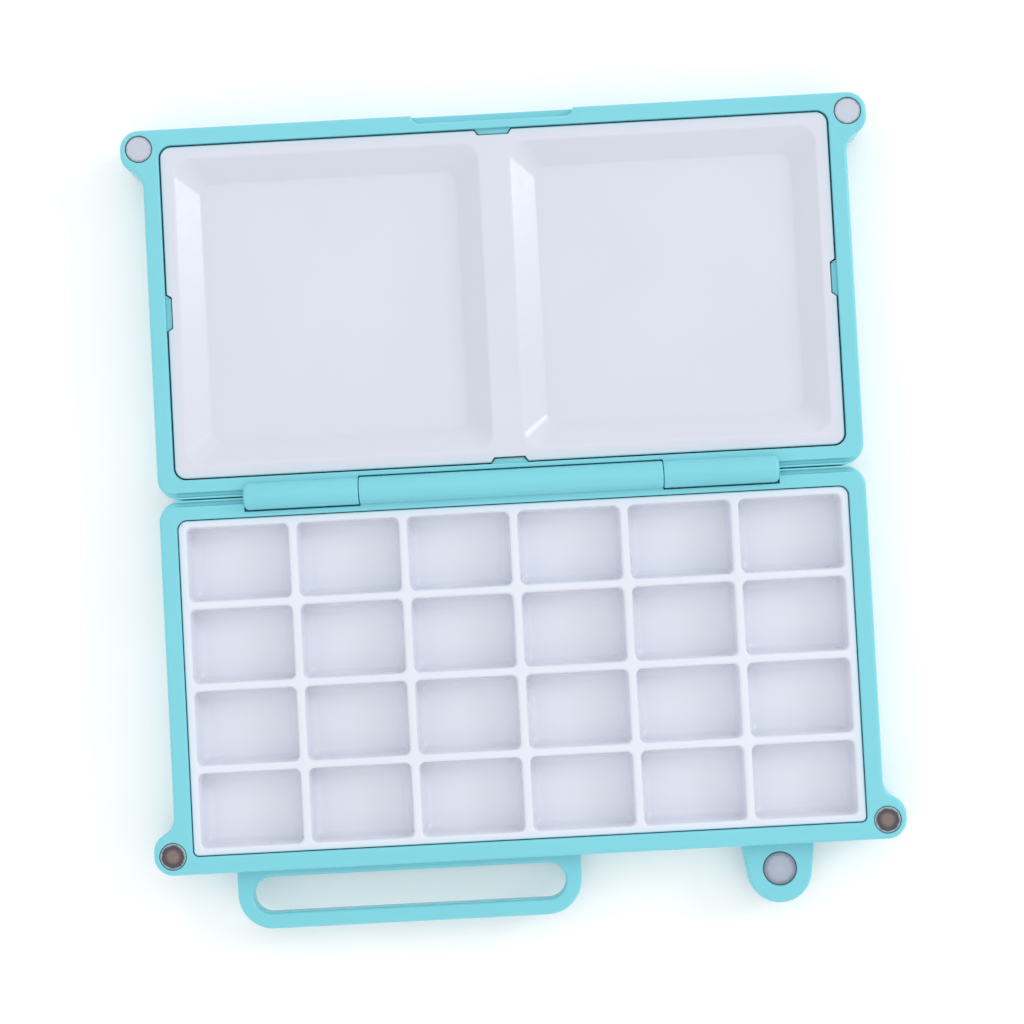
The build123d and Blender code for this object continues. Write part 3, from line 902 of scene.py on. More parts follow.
def case_half_skin(case, fittings, layout):
    """One case half as a single surface: a profile carried round its outline.

    The outline runs anticlockwise from the middle of the hinge side; each station also has its
    place on the pocket's outline, so the profile goes from the foot up the outside, over the rim
    and down the pocket's wall. The right half mirrors the left one.
    """
    rim_z, floor_z = layout["rim_z"], layout["floor_z"]
    half_x, half_y = layout["half_x"], layout["half_y"]
    pocket_x, pocket_y = layout["pocket_x"], layout["pocket_y"]
    free_corner, hinge_corner = layout["free_corner"], layout["hinge_corner"]
    face_y = layout["hinge_face_y"]
    corner_radius = case.hinge_corner_radius
    arc_x, arc_y = half_x - corner_radius, face_y - corner_radius
    ear_x, ear_y = -half_x - case.ear_offset, -half_y + case.ear_radius
    upper_ear_y = ear_y + case.ear_stretch
    both_radii = case.ear_radius + case.ear_blend_radius
    blend_run = case.ear_blend_radius - case.ear_offset
    blend_rise = math.sqrt(both_radii**2 - blend_run**2)
    blend_y = upper_ear_y + blend_rise
    lean = math.degrees(math.atan2(blend_rise, blend_run))

    hinge_x, hinge_tops = hinge_side_stations(case, rim_z, layout["own_centre"], arc_x)
    free_x, free_tops = free_side_stations(
        case, fittings, rim_z, layout["notched"], ear_x + 2 * SUPPORT
    )
    side_y = np.linspace(arc_y - SUPPORT, blend_y + SUPPORT, SIDE_STATIONS)
    turn = sweep_angles(90, 180, CORNER_STATIONS)
    blend_turn = sweep_angles(0, -lean, BLEND_STATIONS)
    ear_side_turn = sweep_angles(180 - lean, 180, EAR_SIDE_STATIONS)
    ear_end_turn = sweep_angles(180, 270, EAR_END_STATIONS)
    blend, towards = on_circle(
        (-half_x - case.ear_blend_radius, blend_y), case.ear_blend_radius, blend_turn
    )
    outer_runs = [
        facing(-hinge_x, face_y, (0.0, 1.0)),
        on_circle((-arc_x, arc_y), corner_radius, turn),
        facing(-half_x, side_y, (-1.0, 0.0)),
        (blend, -towards),
        on_circle((ear_x, upper_ear_y), case.ear_radius, ear_side_turn),
        on_circle((ear_x, ear_y), case.ear_radius, ear_end_turn),
        facing(free_x, -half_y, (0.0, -1.0)),
    ]

    # the pocket's outline, with as many stations along its side and corner as the ear has
    hinge_corner_x, hinge_corner_y = hinge_corner - pocket_x, pocket_y - hinge_corner
    free_corner_x, free_corner_y = free_corner - pocket_x, free_corner - pocket_y
    low_y = ear_y + 2 * free_corner
    straight = EAR_SIDE_STATIONS + EAR_END_STATIONS - POCKET_CORNER_STATIONS
    free_turn = sweep_angles(180, 270, POCKET_CORNER_STATIONS)
    inner_runs = [
        facing(np.maximum(-hinge_x, hinge_corner_x), pocket_y, (0.0, 1.0)),
        on_circle((hinge_corner_x, hinge_corner_y), hinge_corner, turn),
        facing(-pocket_x, np.minimum(side_y, hinge_corner_y - SUPPORT), (-1.0, 0.0)),
        facing(-pocket_x, np.linspace(blend_y, low_y, BLEND_STATIONS), (-1.0, 0.0)),
        facing(-pocket_x, np.linspace(low_y, free_corner_y, straight + 1)[:-1], (-1.0, 0.0)),
        on_circle((free_corner_x, free_corner_y), free_corner, free_turn),
        facing(np.maximum(free_x, free_corner_x), -pocket_y, (0.0, -1.0)),
    ]

    ease = 0.5 - 0.5 * np.cos(np.linspace(0.0, math.pi, CORNER_STATIONS))
    radii = case.hinge_rim_radius + (case.rim_radius - case.hinge_rim_radius) * ease
    fade = np.clip(1.0 - np.linspace(0.0, 1.0, CORNER_STATIONS) / GROOVE_FADE, 0.0, 1.0)
    fade = fade[:, None, None]
    corner_tops = np.array([plain_top(rim_z, radius) for radius in radii])
    corner_tops = corner_tops * (1.0 - fade) + grooved_top(rim_z, case) * fade
    between = sum(len(points) for points, _ in outer_runs[2:6])
    plain_tops = np.repeat(plain_top(rim_z, case.rim_radius)[None], between, axis=0)
    tops = np.concatenate([hinge_tops, corner_tops, plain_tops, free_tops])

    # the other half of the outline, mirrored and run backwards
    rows = [np.vstack(run) for runs in (outer_runs, inner_runs) for run in zip(*runs)]
    place, outward, inner, inner_out = (np.vstack([row, row[::-1] * MIRROR]) for row in rows)
    tops = np.concatenate([tops, tops[::-1]])

    foot_run = case.foot_radius + 3 * SUPPORT
    foot = rounded([(foot_run, 0.0), (0.0, 0.0), (0.0, foot_run)], [case.foot_radius])
    foot = np.broadcast_to(foot, (len(place), *foot.shape))
    outside = np.concatenate([foot, tops], axis=1)
    outer = wall_stack(place, outward, outside[:, :, 0], outside[:, :, 1])
    pocket = rounded(
        [
            (-4 * case.pocket_radius, rim_z),
            (0.0, rim_z),
            (0.0, floor_z),
            (case.pocket_floor_radius + 3 * SUPPORT, floor_z),
        ],
        [case.pocket_radius, case.pocket_floor_radius],
    )[1:]
    wall = wall_stack(inner, inner_out, pocket[:, 0], pocket[:, 1])
    skin = Skin()
    skin.sleeve(layout["to_frame"](np.concatenate([outer, wall], axis=1)))
    return skin


def plate_profile(bottom_z, top_z, radius):
    """Half of a plate's edge section, from its lower face round to its upper one."""
    corners = [(3 * radius, bottom_z), (0.0, bottom_z), (0.0, top_z), (3 * radius, top_z)]
    return rounded(corners, [radius, radius], PLATE_ARC_STEPS)[1:-1]


def handle_skin(fittings, layout):
    """The handle loop as a closed ring: a section carried between its outline and its slot."""
    top_z = layout["rim_z"] - fittings.plate_drop
    bottom_z = top_z - fittings.plate_thickness
    reach_y = BASE_LOW[1]
    root_y = -layout["half_y"] + fittings.plate_root
    half = fittings.handle_width / 2
    corner = fittings.handle_corner
    slot_radius = fittings.handle_slot / 2
    slot_x = half - fittings.handle_bar - slot_radius
    slot_y = reach_y + fittings.handle_bar + slot_radius

    # right half from the middle of the bar to the middle of the root, then its mirror image
    lower = sweep_angles(270, 360, HANDLE_ARC_STEPS)
    upper = sweep_angles(0, 90, HANDLE_ARC_STEPS)[1:]
    leg = np.linspace(reach_y + corner, root_y, HANDLE_ARC_STEPS)[1:]
    outline = [
        facing([0.0], reach_y, (0.0, -1.0)),
        on_circle((half - corner, reach_y + corner), corner, lower),
        facing(half, leg, (1.0, 0.0)),
        facing([0.0], root_y, (0.0, 1.0)),
    ]
    slot = [
        facing([0.0], slot_y - slot_radius, (0.0, -1.0)),
        on_circle((slot_x, slot_y), slot_radius, lower),
        on_circle((slot_x, slot_y), slot_radius, upper),
        facing([0.0], slot_y + slot_radius, (0.0, 1.0)),
    ]
    section = plate_profile(bottom_z, top_z, fittings.plate_radius)
    walls = []
    for runs, offsets, heights in (
        (outline, section[:, 0], section[:, 1]),
        (slot, -section[::-1, 0], section[::-1, 1]),
    ):
        rows = [np.vstack(run) for run in zip(*runs)]
        place, outward = (np.vstack([row, row[-2:0:-1] * MIRROR]) for row in rows)
        walls.append(wall_stack(place + (fittings.handle_middle, 0.0), outward, offsets, heights))
    skin = Skin()
    skin.grid(np.concatenate(walls, axis=1), closed_rows=True, closed_columns=True)
    return skin


def tab_skin(fittings, layout):
    """The magnet tab as a plate: its outline runs from the root round the circular end."""
    top_z = layout["rim_z"] - fittings.plate_drop
    bottom_z = top_z - fittings.plate_thickness
    radius = fittings.tab_radius
    centre = np.array((TAB_MID[0], BASE_LOW[1] + radius))
    root_half = fittings.tab_root_width / 2
    wall_y = -layout["half_y"] - fittings.plate_root - centre[1]
    root_y = -layout["half_y"] + fittings.plate_root - centre[1]
    distance = math.hypot(root_half, wall_y)
    tangent = math.atan2(wall_y, root_half) - math.acos(radius / distance)
    angles = np.linspace(-math.pi - tangent, tangent, TAB_ARC_STEPS)
    arc, arc_out = on_circle((0.0, 0.0), radius, angles)
    side = np.array((math.cos(tangent), math.sin(tangent)))
    right = np.array([(root_half, wall_y), (root_half, root_y)])
    outline = np.vstack([arc, right, right[::-1] * MIRROR]) + centre
    outward = np.vstack([arc_out, side, (1.0, 0.0), (-1.0, 0.0), side * MIRROR])
    section = plate_profile(bottom_z, top_z, fittings.plate_radius)
    skin = Skin()
    skin.sleeve(wall_stack(outline, outward, section[:, 0], section[:, 1]))
    return skin


def hole_cutter(skin, centre, radius, bottom_z, top_z, chamfer):
    """A turned tool that leaves a blind hole with a bevelled mouth."""
    profile = np.array(
        [
            (0.0, bottom_z),
            (radius, bottom_z),
            (radius, top_z - chamfer),
            (radius + 2 * chamfer, top_z + chamfer),
            (0.0, top_z + chamfer),
        ]
    )
    skin.grid(lathe(profile, (centre[0], centre[1], 0.0)), closed_rows=True)


def bore_cutters(skin, radius, start, end):
    """Turned tools along the hinge axis, between two distances on either side of the middle."""
    for side in (-1, 1):
        low, high = sorted((side * start, side * end))
        profile = np.array([(0.0, low), (radius, low), (radius, high), (0.0, high)])
        skin.grid(lathe(profile, (0.0, HINGE[1], HINGE[2]), axis="X"), closed_rows=True)


def case_layout(case, trays, lid):
    """Places of one half, in its own plan, and the way from that plan to the frame."""
    rim_z = PAN_HIGH[2] + case.rim_recess
    low, high = (MIX_LOW, MIX_HIGH) if lid else (PAN_LOW, PAN_HIGH)
    gap = case.lid_gap if lid else case.base_gap
    free = trays.mixing_corner if lid else trays.pan_free_corner
    hinge = trays.mixing_corner if lid else trays.pan_hinge_corner
    turn = np.array((-1.0, -1.0, 1.0)) if lid else np.ones(3)
    shift = np.array((0.0, 2 * HINGE[1], 0.0)) if lid else np.zeros(3)
    return {
        "rim_z": rim_z,
        "half_x": BASE_HIGH[0] - case.ear_radius - case.ear_offset,
        "half_y": LID_HIGH[1] - 2 * HINGE[1],
        "hinge_face_y": HINGE[1] - case.face_gap / 2,
        "pocket_x": (high[0] - low[0]) / 2 + gap,
        "pocket_y": (high[1] - low[1]) / 2 + gap,
        "free_corner": free + gap,
        "hinge_corner": hinge + gap,
        "floor_z": low[2],
        "own_centre": not lid,
        "notched": lid,
        "to_frame": lambda points: points * turn + shift,
    }


def build_case_half(context, lid, material):
    """One case half, its holes cut, as a finished piece."""
    case = context.scene.palette_case
    fittings = context.scene.palette_fittings
    layout = case_layout(case, context.scene.palette_trays, lid)
    rim_z = layout["rim_z"]
    mesh = case_half_skin(case, fittings, layout).mesh("half")

    cutters = Skin()
    chamfer = case.hole_chamfer
    hole_radius = (MAGNET_HIGH[0] - MAGNET_LOW[0]) / 2 + case.magnet_fit
    hole_z = rim_z - case.magnet_recess - (MAGNET_HIGH[2] - MAGNET_LOW[2])
    ear_y = -layout["half_y"] + case.ear_radius
    for side in (-1, 1):
        ear_x = side * (layout["half_x"] + case.ear_offset)
        centre = layout["to_frame"](np.array((ear_x, ear_y, 0.0)))
        hole_cutter(cutters, centre, hole_radius, hole_z, rim_z, chamfer)
    inner = case.centre_knuckle_end
    if lid:
        bore_cutters(cutters, case.pin_radius, inner - BORE_LEAD, case.hinge_end + BORE_OVERRUN)
    else:
        mesh = combine(mesh, handle_skin(fittings, layout).mesh("loop"), "UNION")
        mesh = combine(mesh, tab_skin(fittings, layout).mesh("tab"), "UNION")
        tab_radius = (TAB_HIGH[0] - TAB_LOW[0]) / 2 + case.magnet_fit
        tab_z = rim_z - fittings.plate_drop
        hole_cutter(cutters, TAB_MID, tab_radius, TAB_LOW[2], tab_z, chamfer)
        bore_radius = case.pin_radius + case.pin_clearance
        bore_cutters(cutters, bore_radius, inner - case.pin_depth, inner + case.knuckle_end_gap)
    mesh = combine(mesh, cutters.mesh("cutters"), "DIFFERENCE")
    if lid:
        lugs = Skin()
        plan = lug_plan(fittings, 0.0)
        top_z = MIX_HIGH[2] - fittings.lug_drop
        heights = (top_z - fittings.lug_height, top_z)
        for place, inward in tray_sides():
            lug_skin(lugs, place, inward, plan, case.lid_gap + LUG_ROOT, heights, LUG_EDGE)
        mesh = combine(mesh, lugs.mesh("lugs"), "UNION")
    name = "lid_case" if lid else "base_case"
    body = "lid" if lid else "base"
    place_piece(name, mesh, body, f"{body}_shell", material)


# Trays


def four_quarters(quarters):
    """Four quarters, each from the right to the top of its own quadrant, as one closed loop."""
    first, second, third, fourth = quarters
    return np.vstack(
        [first, second[-2::-1] * (-1, 1), third[1:] * (-1, -1), fourth[-2:0:-1] * (1, -1)]
    )


def mouth_loop(half, radius, shares, steps):
    """A rounded rectangle about the origin, anticlockwise from the middle of its right side.

    shares runs from 0 at a side's middle to 1 where the corner's arc starts.
    """
    straight = np.asarray(half) - radius
    turn = sweep_angles(0, 90, steps)
    corner = straight + radius * np.stack([np.cos(turn), np.sin(turn)], axis=-1)
    right = np.stack([np.full(len(shares), half[0]), shares * straight[1]], axis=-1)
    top = np.stack([shares[::-1] * straight[0], np.full(len(shares), half[1])], axis=-1)
    return four_quarters([np.vstack([right[:-1], corner, top[1:]])] * 4)


def cell_loop(half, radius, shares, steps, cell):
    """The points of a mouth loop moved out square to the edges of the cell round it.

    cell holds the distances from the well's middle to its left, right, lower and upper edge. The
    points of a corner's arc are spread over the two edges on either side of the cell's corner.
    """
    straight = np.asarray(half) - radius
    left, right, lower, upper = cell
    first = (steps - 1) // 2

    def quarter(edge_x, edge_y):
        side = np.stack([np.full(len(shares), edge_x), shares * straight[1]], axis=-1)
        top = np.stack([shares[::-1] * straight[0], np.full(len(shares), edge_y)], axis=-1)
        up = np.linspace(straight[1], edge_y, first + 1)
        back = np.linspace(edge_x, straight[0], first + 1)[1:]
        rise = np.stack([np.full(first + 1, edge_x), up], axis=-1)
        run = np.stack([back, np.full(first, edge_y)], axis=-1)
        return np.vstack([side[:-1], rise, run, top[1:]])

    return four_quarters(
        [quarter(right, upper), quarter(left, upper), quarter(left, lower), quarter(right, lower)]
    )


def well_rows(half, profile, radii, shares, steps, cell):
    """One well as rows of closed loops: the cell's edge, then the profile from mouth to floor.

    Each row is the mouth drawn in by the profile's inset, at its height, with its own corner.
    """
    edge = cell_loop(half, radii[0], shares, steps, cell)
    rows = [np.column_stack([edge, np.full(len(edge), profile[0, 1])])]
    for (inset, height), radius in zip(profile, radii):
        loop = mouth_loop(np.asarray(half) - inset, radius, shares, steps)
        rows.append(np.column_stack([loop, np.full(len(loop), height)]))
    return np.array(rows)


def add_well(skin, rows, centre, mirrored=False):
    """One well's surface at its place, and the cap that is its floor."""
    flip = np.array((-1.0 if mirrored else 1.0, 1.0, 1.0))
    placed = rows * flip + np.array((centre[0], centre[1], 0.0))
    skin.grid(placed, closed_columns=True)
    skin.cap(placed[-1])


def edge_values(edge, centres, axis):
    """Where the points of all cells lie along one side of the grid, in rising order."""
    across = edge[:, 1 - axis]
    own = edge[np.isclose(across, across.max()), axis]
    every = (own[None, :] + np.asarray(centres)[:, None]).ravel()
    return np.unique(np.round(every, 8))


def ring_side(values, tray_half, radius_low, radius_high, first):
    """Where one side's points go on the tray's outline, as distance along, drop and turn.

    The last points at either end, as many as a cell's corner has, are spread over half of the
    outline's corner arc; all others keep their place along the side.
    """
    place = np.arange(len(values))
    from_end = np.minimum(place, len(values) - 1 - place)
    high = values > 0
    radius = np.where(high, radius_high, radius_low)
    angle = np.radians(45) * np.clip((first - from_end) / first, 0.0, 1.0)
    in_corner = from_end <= first
    size = np.where(in_corner, tray_half - radius + radius * np.sin(angle), np.abs(values))
    drop = np.where(in_corner, radius * (1 - np.cos(angle)), 0.0)
    return np.where(high, size, -size), drop, np.where(high, angle, -angle)


def tray_ring(values_x, values_y, grid_half, tray_half, radius_free, radius_hinge, first, middle_y):
    """The grid's perimeter and the tray's outline with matching points, and outward directions.

    Anticlockwise from the lower right corner; free corners are at the low end of Y.
    """
    (grid_x, grid_y), (tray_x, tray_y) = grid_half, tray_half
    parts = []
    for values, sign in ((values_y, 1), (values_y[::-1], -1)):
        run, drop, angle = ring_side(values, tray_y, radius_free, radius_hinge, first)
        inner = np.stack([np.full(len(values), sign * grid_x), values], axis=-1)
        outer = np.stack([sign * (tray_x - drop), run], axis=-1)
        out = np.stack([sign * np.cos(angle), np.sin(angle)], axis=-1)
        parts.append((inner, outer, out))
    for values, sign, radius in ((values_x[::-1], 1, radius_hinge), (values_x, -1, radius_free)):
        run, drop, angle = ring_side(values, tray_x, radius, radius, first)
        inner = np.stack([values, np.full(len(values), sign * grid_y)], axis=-1)
        outer = np.stack([run, sign * (tray_y - drop)], axis=-1)
        out = np.stack([np.sin(angle), sign * np.cos(angle)], axis=-1)
        parts.append((inner, outer, out))
    order = [[row[:-1] for row in parts[side]] for side in (0, 2, 1, 3)]
    inner, outer, out = map(np.vstack, zip(*order))
    shift = np.array((0.0, middle_y))
    return inner + shift, outer + shift, out


def shrinking_radii(profile, mouth_radius, floor_radius, slope):
    """A well's corner radius at each row: larger outside the mouth, smaller down to the floor."""
    inset = profile[:, 0]
    inside = mouth_radius + (floor_radius - mouth_radius) * np.clip(inset / slope, 0.0, 1.0)
    beyond = np.clip((inset - slope) / (inset[-1] - slope), 0.0, 1.0)
    return np.where(
        inset < 0, mouth_radius - inset, inside - FLOOR_CORNER_LOSS * floor_radius * beyond
    )


def pan_tray_skin(trays):
    """The paint tray: one well repeated over its grid, a ring round them and a hollow underside."""
    top_z, bottom_z = PAN_HIGH[2], PAN_LOW[2]
    tray_half = (PAN_HIGH - PAN_LOW)[:2] / 2
    middle_y = (PAN_HIGH[1] + PAN_LOW[1]) / 2
    columns, rows = PAN_COLUMNS, PAN_ROWS
    border_x, divider_x = trays.pan_border_x, trays.pan_divider_x
    border_y, divider_y = trays.pan_border_y, trays.pan_divider_y
    width = (2 * tray_half[0] - 2 * border_x - (columns - 1) * divider_x) / columns
    depth = (2 * tray_half[1] - 2 * border_y - (rows - 1) * divider_y) / rows
    pitch = np.array((width + divider_x, depth + divider_y))
    floor_z = top_z - trays.pan_depth
    slope, foot = trays.pan_slope, trays.pan_foot
    corners = [(-PAN_MARGIN * divider_y, top_z), (0.0, top_z), (slope, floor_z)]
    corners += [(slope + 2.0 * foot, floor_z)]
    profile = rounded(corners, [trays.pan_lip, foot])[1:-1]
    corner = trays.pan_corner
    radii = shrinking_radii(profile, corner, PAN_FLOOR_CORNER * corner, slope)
    half = np.array((width, depth)) / 2
    cell = np.array((pitch[0], pitch[0], pitch[1], pitch[1])) / 2
    well = well_rows(half, profile, radii, PAN_SHARES, WELL_CORNER_STEPS, cell)
    centres_x = (np.arange(columns) - (columns - 1) / 2) * pitch[0]
    centres_y = (np.arange(rows) - (rows - 1) / 2) * pitch[1]
    skin = Skin()
    for centre_y in centres_y:
        for centre_x in centres_x:
            add_well(skin, well, (centre_x, centre_y + middle_y))
    edge = well[0, :, :2]
    values = [edge_values(edge, centres_x, 0), edge_values(edge, centres_y, 1)]
    grid_half = pitch * (columns, rows) / 2
    first = (WELL_CORNER_STEPS - 1) // 2
    free, hinge = trays.pan_free_corner, trays.pan_hinge_corner
    inner, outer, out = tray_ring(*values, grid_half, tray_half, free, hinge, first, middle_y)
    lip = trays.lip_radius
    side = rounded(
        [(LIP_RUN * lip, top_z), (0.0, top_z), (0.0, bottom_z), (LIP_RUN * lip, bottom_z)],
        [lip, SKIRT_FOOT * lip],
    )[1:-1]
    start = np.column_stack([inner, np.full(len(inner), top_z)])
    wall = wall_stack(outer, out, side[:, 0], side[:, 1])

    # the skirt's inner face has its own outline, up to the plate that closes the wells
    within = tray_half - trays.pan_skirt
    _, hollow, hollow_out = tray_ring(*values, grid_half, within, free, free, first, middle_y)
    under_z = floor_z - trays.pan_floor
    rise = np.array([(0.0, bottom_z), (0.0, bottom_z + SUPPORT), (0.0, under_z)])
    hollow_wall = wall_stack(hollow, hollow_out, rise[:, 0], rise[:, 1])
    ring = np.concatenate([start[:, None], wall, hollow_wall], axis=1)
    skin.grid(ring, closed_rows=True)
    skin.cap(ring[:, -1])
    return skin


def mixing_tray_skin(trays):
    """The mixing tray: two dished wells, hollow underneath between their walls and the skirt."""
    top_z, bottom_z = MIX_HIGH[2], MIX_LOW[2]
    tray_half = (MIX_HIGH - MIX_LOW)[:2] / 2
    middle_y = (MIX_HIGH[1] + MIX_LOW[1]) / 2
    border, ridge = trays.mixing_border, trays.mixing_ridge
    half = np.array(((tray_half[0] * 2 - 2 * border - ridge) / 4, tray_half[1] - border))
    centre_x = ridge / 2 + half[0]
    floor_z = top_z - trays.mixing_depth
    under_z = top_z - trays.mixing_deck
    slope, foot = trays.mixing_slope, trays.mixing_foot

    corners = [(-MIXING_MARGIN * border, top_z), (0.0, top_z), (slope, floor_z)]
    corners += [(slope + 2 * foot, floor_z)]
    profile = rounded(corners, [trays.mixing_lip, foot], MIXING_ARC_STEPS)[1:-1]
    radii = shrinking_radii(profile, trays.mixing_mouth_corner, trays.mixing_floor_corner, slope)
    upper_edge = half[1] + 0.5 * border
    cell = (half[0] + ridge / 2, half[0] + 0.5 * border, upper_edge, upper_edge)
    well = well_rows(half, profile, radii, MIXING_SHARES, MIXING_CORNER_STEPS, cell)

    # the same form again for the underside, one wall's thickness further out
    reach = slope / trays.mixing_depth
    side = trays.mixing_side
    low_z = floor_z - trays.mixing_floor
    start_inset = reach * (trays.mixing_deck - trays.mixing_floor) - side
    end_inset = slope - side
    under_profile = np.array([(start_inset, under_z), (end_inset, low_z), (end_inset + foot, low_z)])
    under_outer = tray_half[0] - trays.mixing_skirt - UNDERSIDE_INSET - centre_x
    under_upper = tray_half[1] - trays.mixing_skirt - UNDERSIDE_INSET
    under_cell = (half[0] + ridge / 2, under_outer, under_upper, under_upper)
    under = well_rows(
        half, under_profile, UNDERSIDE_CORNERS, MIXING_SHARES, MIXING_CORNER_STEPS, under_cell
    )

    skin = Skin()
    for mirrored in (False, True):
        place = (-centre_x if mirrored else centre_x, middle_y)
        add_well(skin, well, place, mirrored)
        add_well(skin, under, place, mirrored)

    first = (MIXING_CORNER_STEPS - 1) // 2
    corner = trays.mixing_corner
    rings = []
    for edge in (well[0, :, :2], under[0, :, :2]):
        values_y = edge_values(edge, (0.0,), 1)
        own_x = edge_values(edge, (centre_x,), 0)
        values_x = np.unique(np.concatenate([own_x, -own_x]))
        grid_half = (values_x.max(), values_y.max())
        rings.append(
            tray_ring(values_x, values_y, grid_half, tray_half, corner, corner, first, middle_y)
        )
    (inner, outer, out), (under_inner, _, _) = rings
    lip = trays.lip_radius
    skirt = trays.mixing_skirt
    corners = [(LIP_RUN * lip, top_z), (0.0, top_z), (0.0, bottom_z), (skirt, bottom_z)]
    corners += [(skirt, under_z)]
    side_profile = rounded(corners, [lip, SKIRT_FOOT * lip, SKIRT_FOOT * lip])[1:]
    wall = wall_stack(outer, out, side_profile[:, 0], side_profile[:, 1])
    start = np.column_stack([inner, np.full(len(inner), top_z)])
    finish = np.column_stack([under_inner, np.full(len(inner), under_z)])
    skin.grid(np.concatenate([start[:, None], wall, finish[:, None]], axis=1), closed_rows=True)
    return skin


def lug_plan(fittings, growth):
    """The plan of a snap lug: half its length, the slant of its ends and how far it reaches."""
    return fittings.lug_length / 2 + growth, fittings.lug_slant, fittings.lug_reach + growth


def lug_skin(skin, place, inward, plan, root, heights, edge):
    """A snap lug, or the cutter of its notch: a rounded trapezium in plan, drawn upwards.

    place is the middle of the tray's edge and inward the way the lug reaches; edge is how far
    its lower and upper edges are rounded off.
    """
    half, slant, reach = plan
    bottom_z, top_z = heights
    corners = [(-half, -root), (-half, 0.0), (slant - half, reach), (half - slant, reach)]
    corners += [(half, 0.0), (half, -root)]
    outline = rounded(corners, [LUG_CORNER] * 4, SHORT_ARC_STEPS)
    sideways = np.array((-inward[1], inward[0]))
    soft = LUG_SOFT_STEP * edge
    shrink = np.array([edge, soft, 0.0, 0.0, soft, edge])
    levels = np.array(
        [bottom_z, bottom_z + soft, bottom_z + edge, top_z - edge, top_z - soft, top_z]
    )
    depth = np.maximum(outline[:, 1, None] - shrink * (outline[:, 1, None] > 0), -root)
    flat = place + sideways * outline[:, 0, None, None] + inward * depth[:, :, None]
    skin.sleeve(np.dstack([flat, np.broadcast_to(levels, depth.shape)]))


def tray_sides():
    """The middle of each side of the mixing tray and the way in from it."""
    middle = (MIX_LOW[:2] + MIX_HIGH[:2]) / 2
    half = (MIX_HIGH[:2] - MIX_LOW[:2]) / 2
    inward = np.array([(0.0, 1.0), (0.0, -1.0), (1.0, 0.0), (-1.0, 0.0)])
    return zip(middle - inward * half, inward)


# Operators


class PALETTE_OT_base_case(bpy.types.Operator):
    """Build the paint side's case half with its handle loop, magnet tab and centre knuckle"""

    bl_idname = "palette.base_case"
    bl_label = "Base case"

    def execute(self, context):
        build_case_half(context, False, palette_material(context, "aqua_moulding"))
        return {"FINISHED"}


class PALETTE_OT_lid_case(bpy.types.Operator):
    """Build the lid's case half with its outer knuckles, finger notch and snap lugs"""

    bl_idname = "palette.lid_case"
    bl_label = "Lid case"

    def execute(self, context):
        build_case_half(context, True, palette_material(context, "aqua_moulding"))
        return {"FINISHED"}


class PALETTE_OT_pan_tray(bpy.types.Operator):
    """Build the tray with the small paint wells"""

    bl_idname = "palette.pan_tray"
    bl_label = "Paint tray"

    def execute(self, context):
        mesh = pan_tray_skin(context.scene.palette_trays).mesh("paint_tray")
        material = palette_material(context, "paint_tray_moulding")
        place_piece("paint_tray", mesh, "base", "pan_tray", material)
        return {"FINISHED"}


class PALETTE_OT_mixing_tray(bpy.types.Operator):
    """Build the tray with the two mixing wells and a notch for each snap lug"""

    bl_idname = "palette.mixing_tray"
    bl_label = "Mixing tray"

    def execute(self, context):
        fittings = context.scene.palette_fittings
        mesh = mixing_tray_skin(context.scene.palette_trays).mesh("mixing_dishes")
        cutters = Skin()
        clearance = fittings.lug_clearance
        plan = lug_plan(fittings, clearance)
        bottom_z = MIX_HIGH[2] - fittings.lug_drop - fittings.lug_height - clearance
        heights = (bottom_z, MIX_HIGH[2] + LUG_NOTCH_RISE)
        for place, inward in tray_sides():
            lug_skin(cutters, place, inward, plan, LUG_NOTCH_ROOT, heights, 0.0)
        mesh = combine(mesh, cutters.mesh("notches"), "DIFFERENCE")
        material = palette_material(context, "mixing_tray_moulding")
        place_piece("mixing_dishes", mesh, "lid", "mixing_tray", material)
        return {"FINISHED"}


class PALETTE_OT_magnets(bpy.types.Operator):
    """Build the four corner magnets and the larger one in the tab"""

    bl_idname = "palette.magnets"
    bl_label = "Magnets"

    def execute(self, context):
        edge = context.scene.palette_case.magnet_edge
        pieces = (
            ("base_left_disc", "base_magnet_left", "base", "corner_magnet", "base_disc_plating"),
            ("base_right_disc", "base_magnet_right", "base", "corner_magnet", "base_disc_plating"),
            ("lid_left_disc", "lid_magnet_left", "lid", "corner_magnet", "lid_disc_plating"),
            ("lid_right_disc", "lid_magnet_right", "lid", "corner_magnet", "lid_disc_plating"),
            ("tab_disc", "tab_magnet", "base", "tab_magnet", "tab_disc_plating"),
        )
        for name, node, body, slot, look in pieces:
            low, high = node_box(node)
            centre = (low + high) / 2
            radius = (high[0] - low[0]) / 2
            profile = softened_cylinder(low[2], high[2], radius, edge)
            skin = Skin()
            skin.grid(lathe(profile, (centre[0], centre[1], 0.0)), closed_rows=True)
            place_piece(name, skin.mesh(name), body, node, palette_material(context, look))
        return {"FINISHED"}


class PALETTE_OT_pins(bpy.types.Operator):
    """Build the two hinge pins"""

    bl_idname = "palette.pins"
    bl_label = "Hinge pins"

    def execute(self, context):
        edge = context.scene.palette_case.pin_edge
        material = palette_material(context, "pin_wire")
        for side in ("left", "right"):
            node = f"hinge_pin_{side}"
            low, high = node_box(node)
            radius = (high[2] - low[2]) / 2
            profile = softened_cylinder(low[0], high[0], radius, edge)
            skin = Skin()
            skin.grid(lathe(profile, (0.0, HINGE[1], HINGE[2]), "X", PIN_STEPS), closed_rows=True)
            place_piece(f"{side}_pin", skin.mesh(f"{side}_pin"), "lid", node, material)
        return {"FINISHED"}


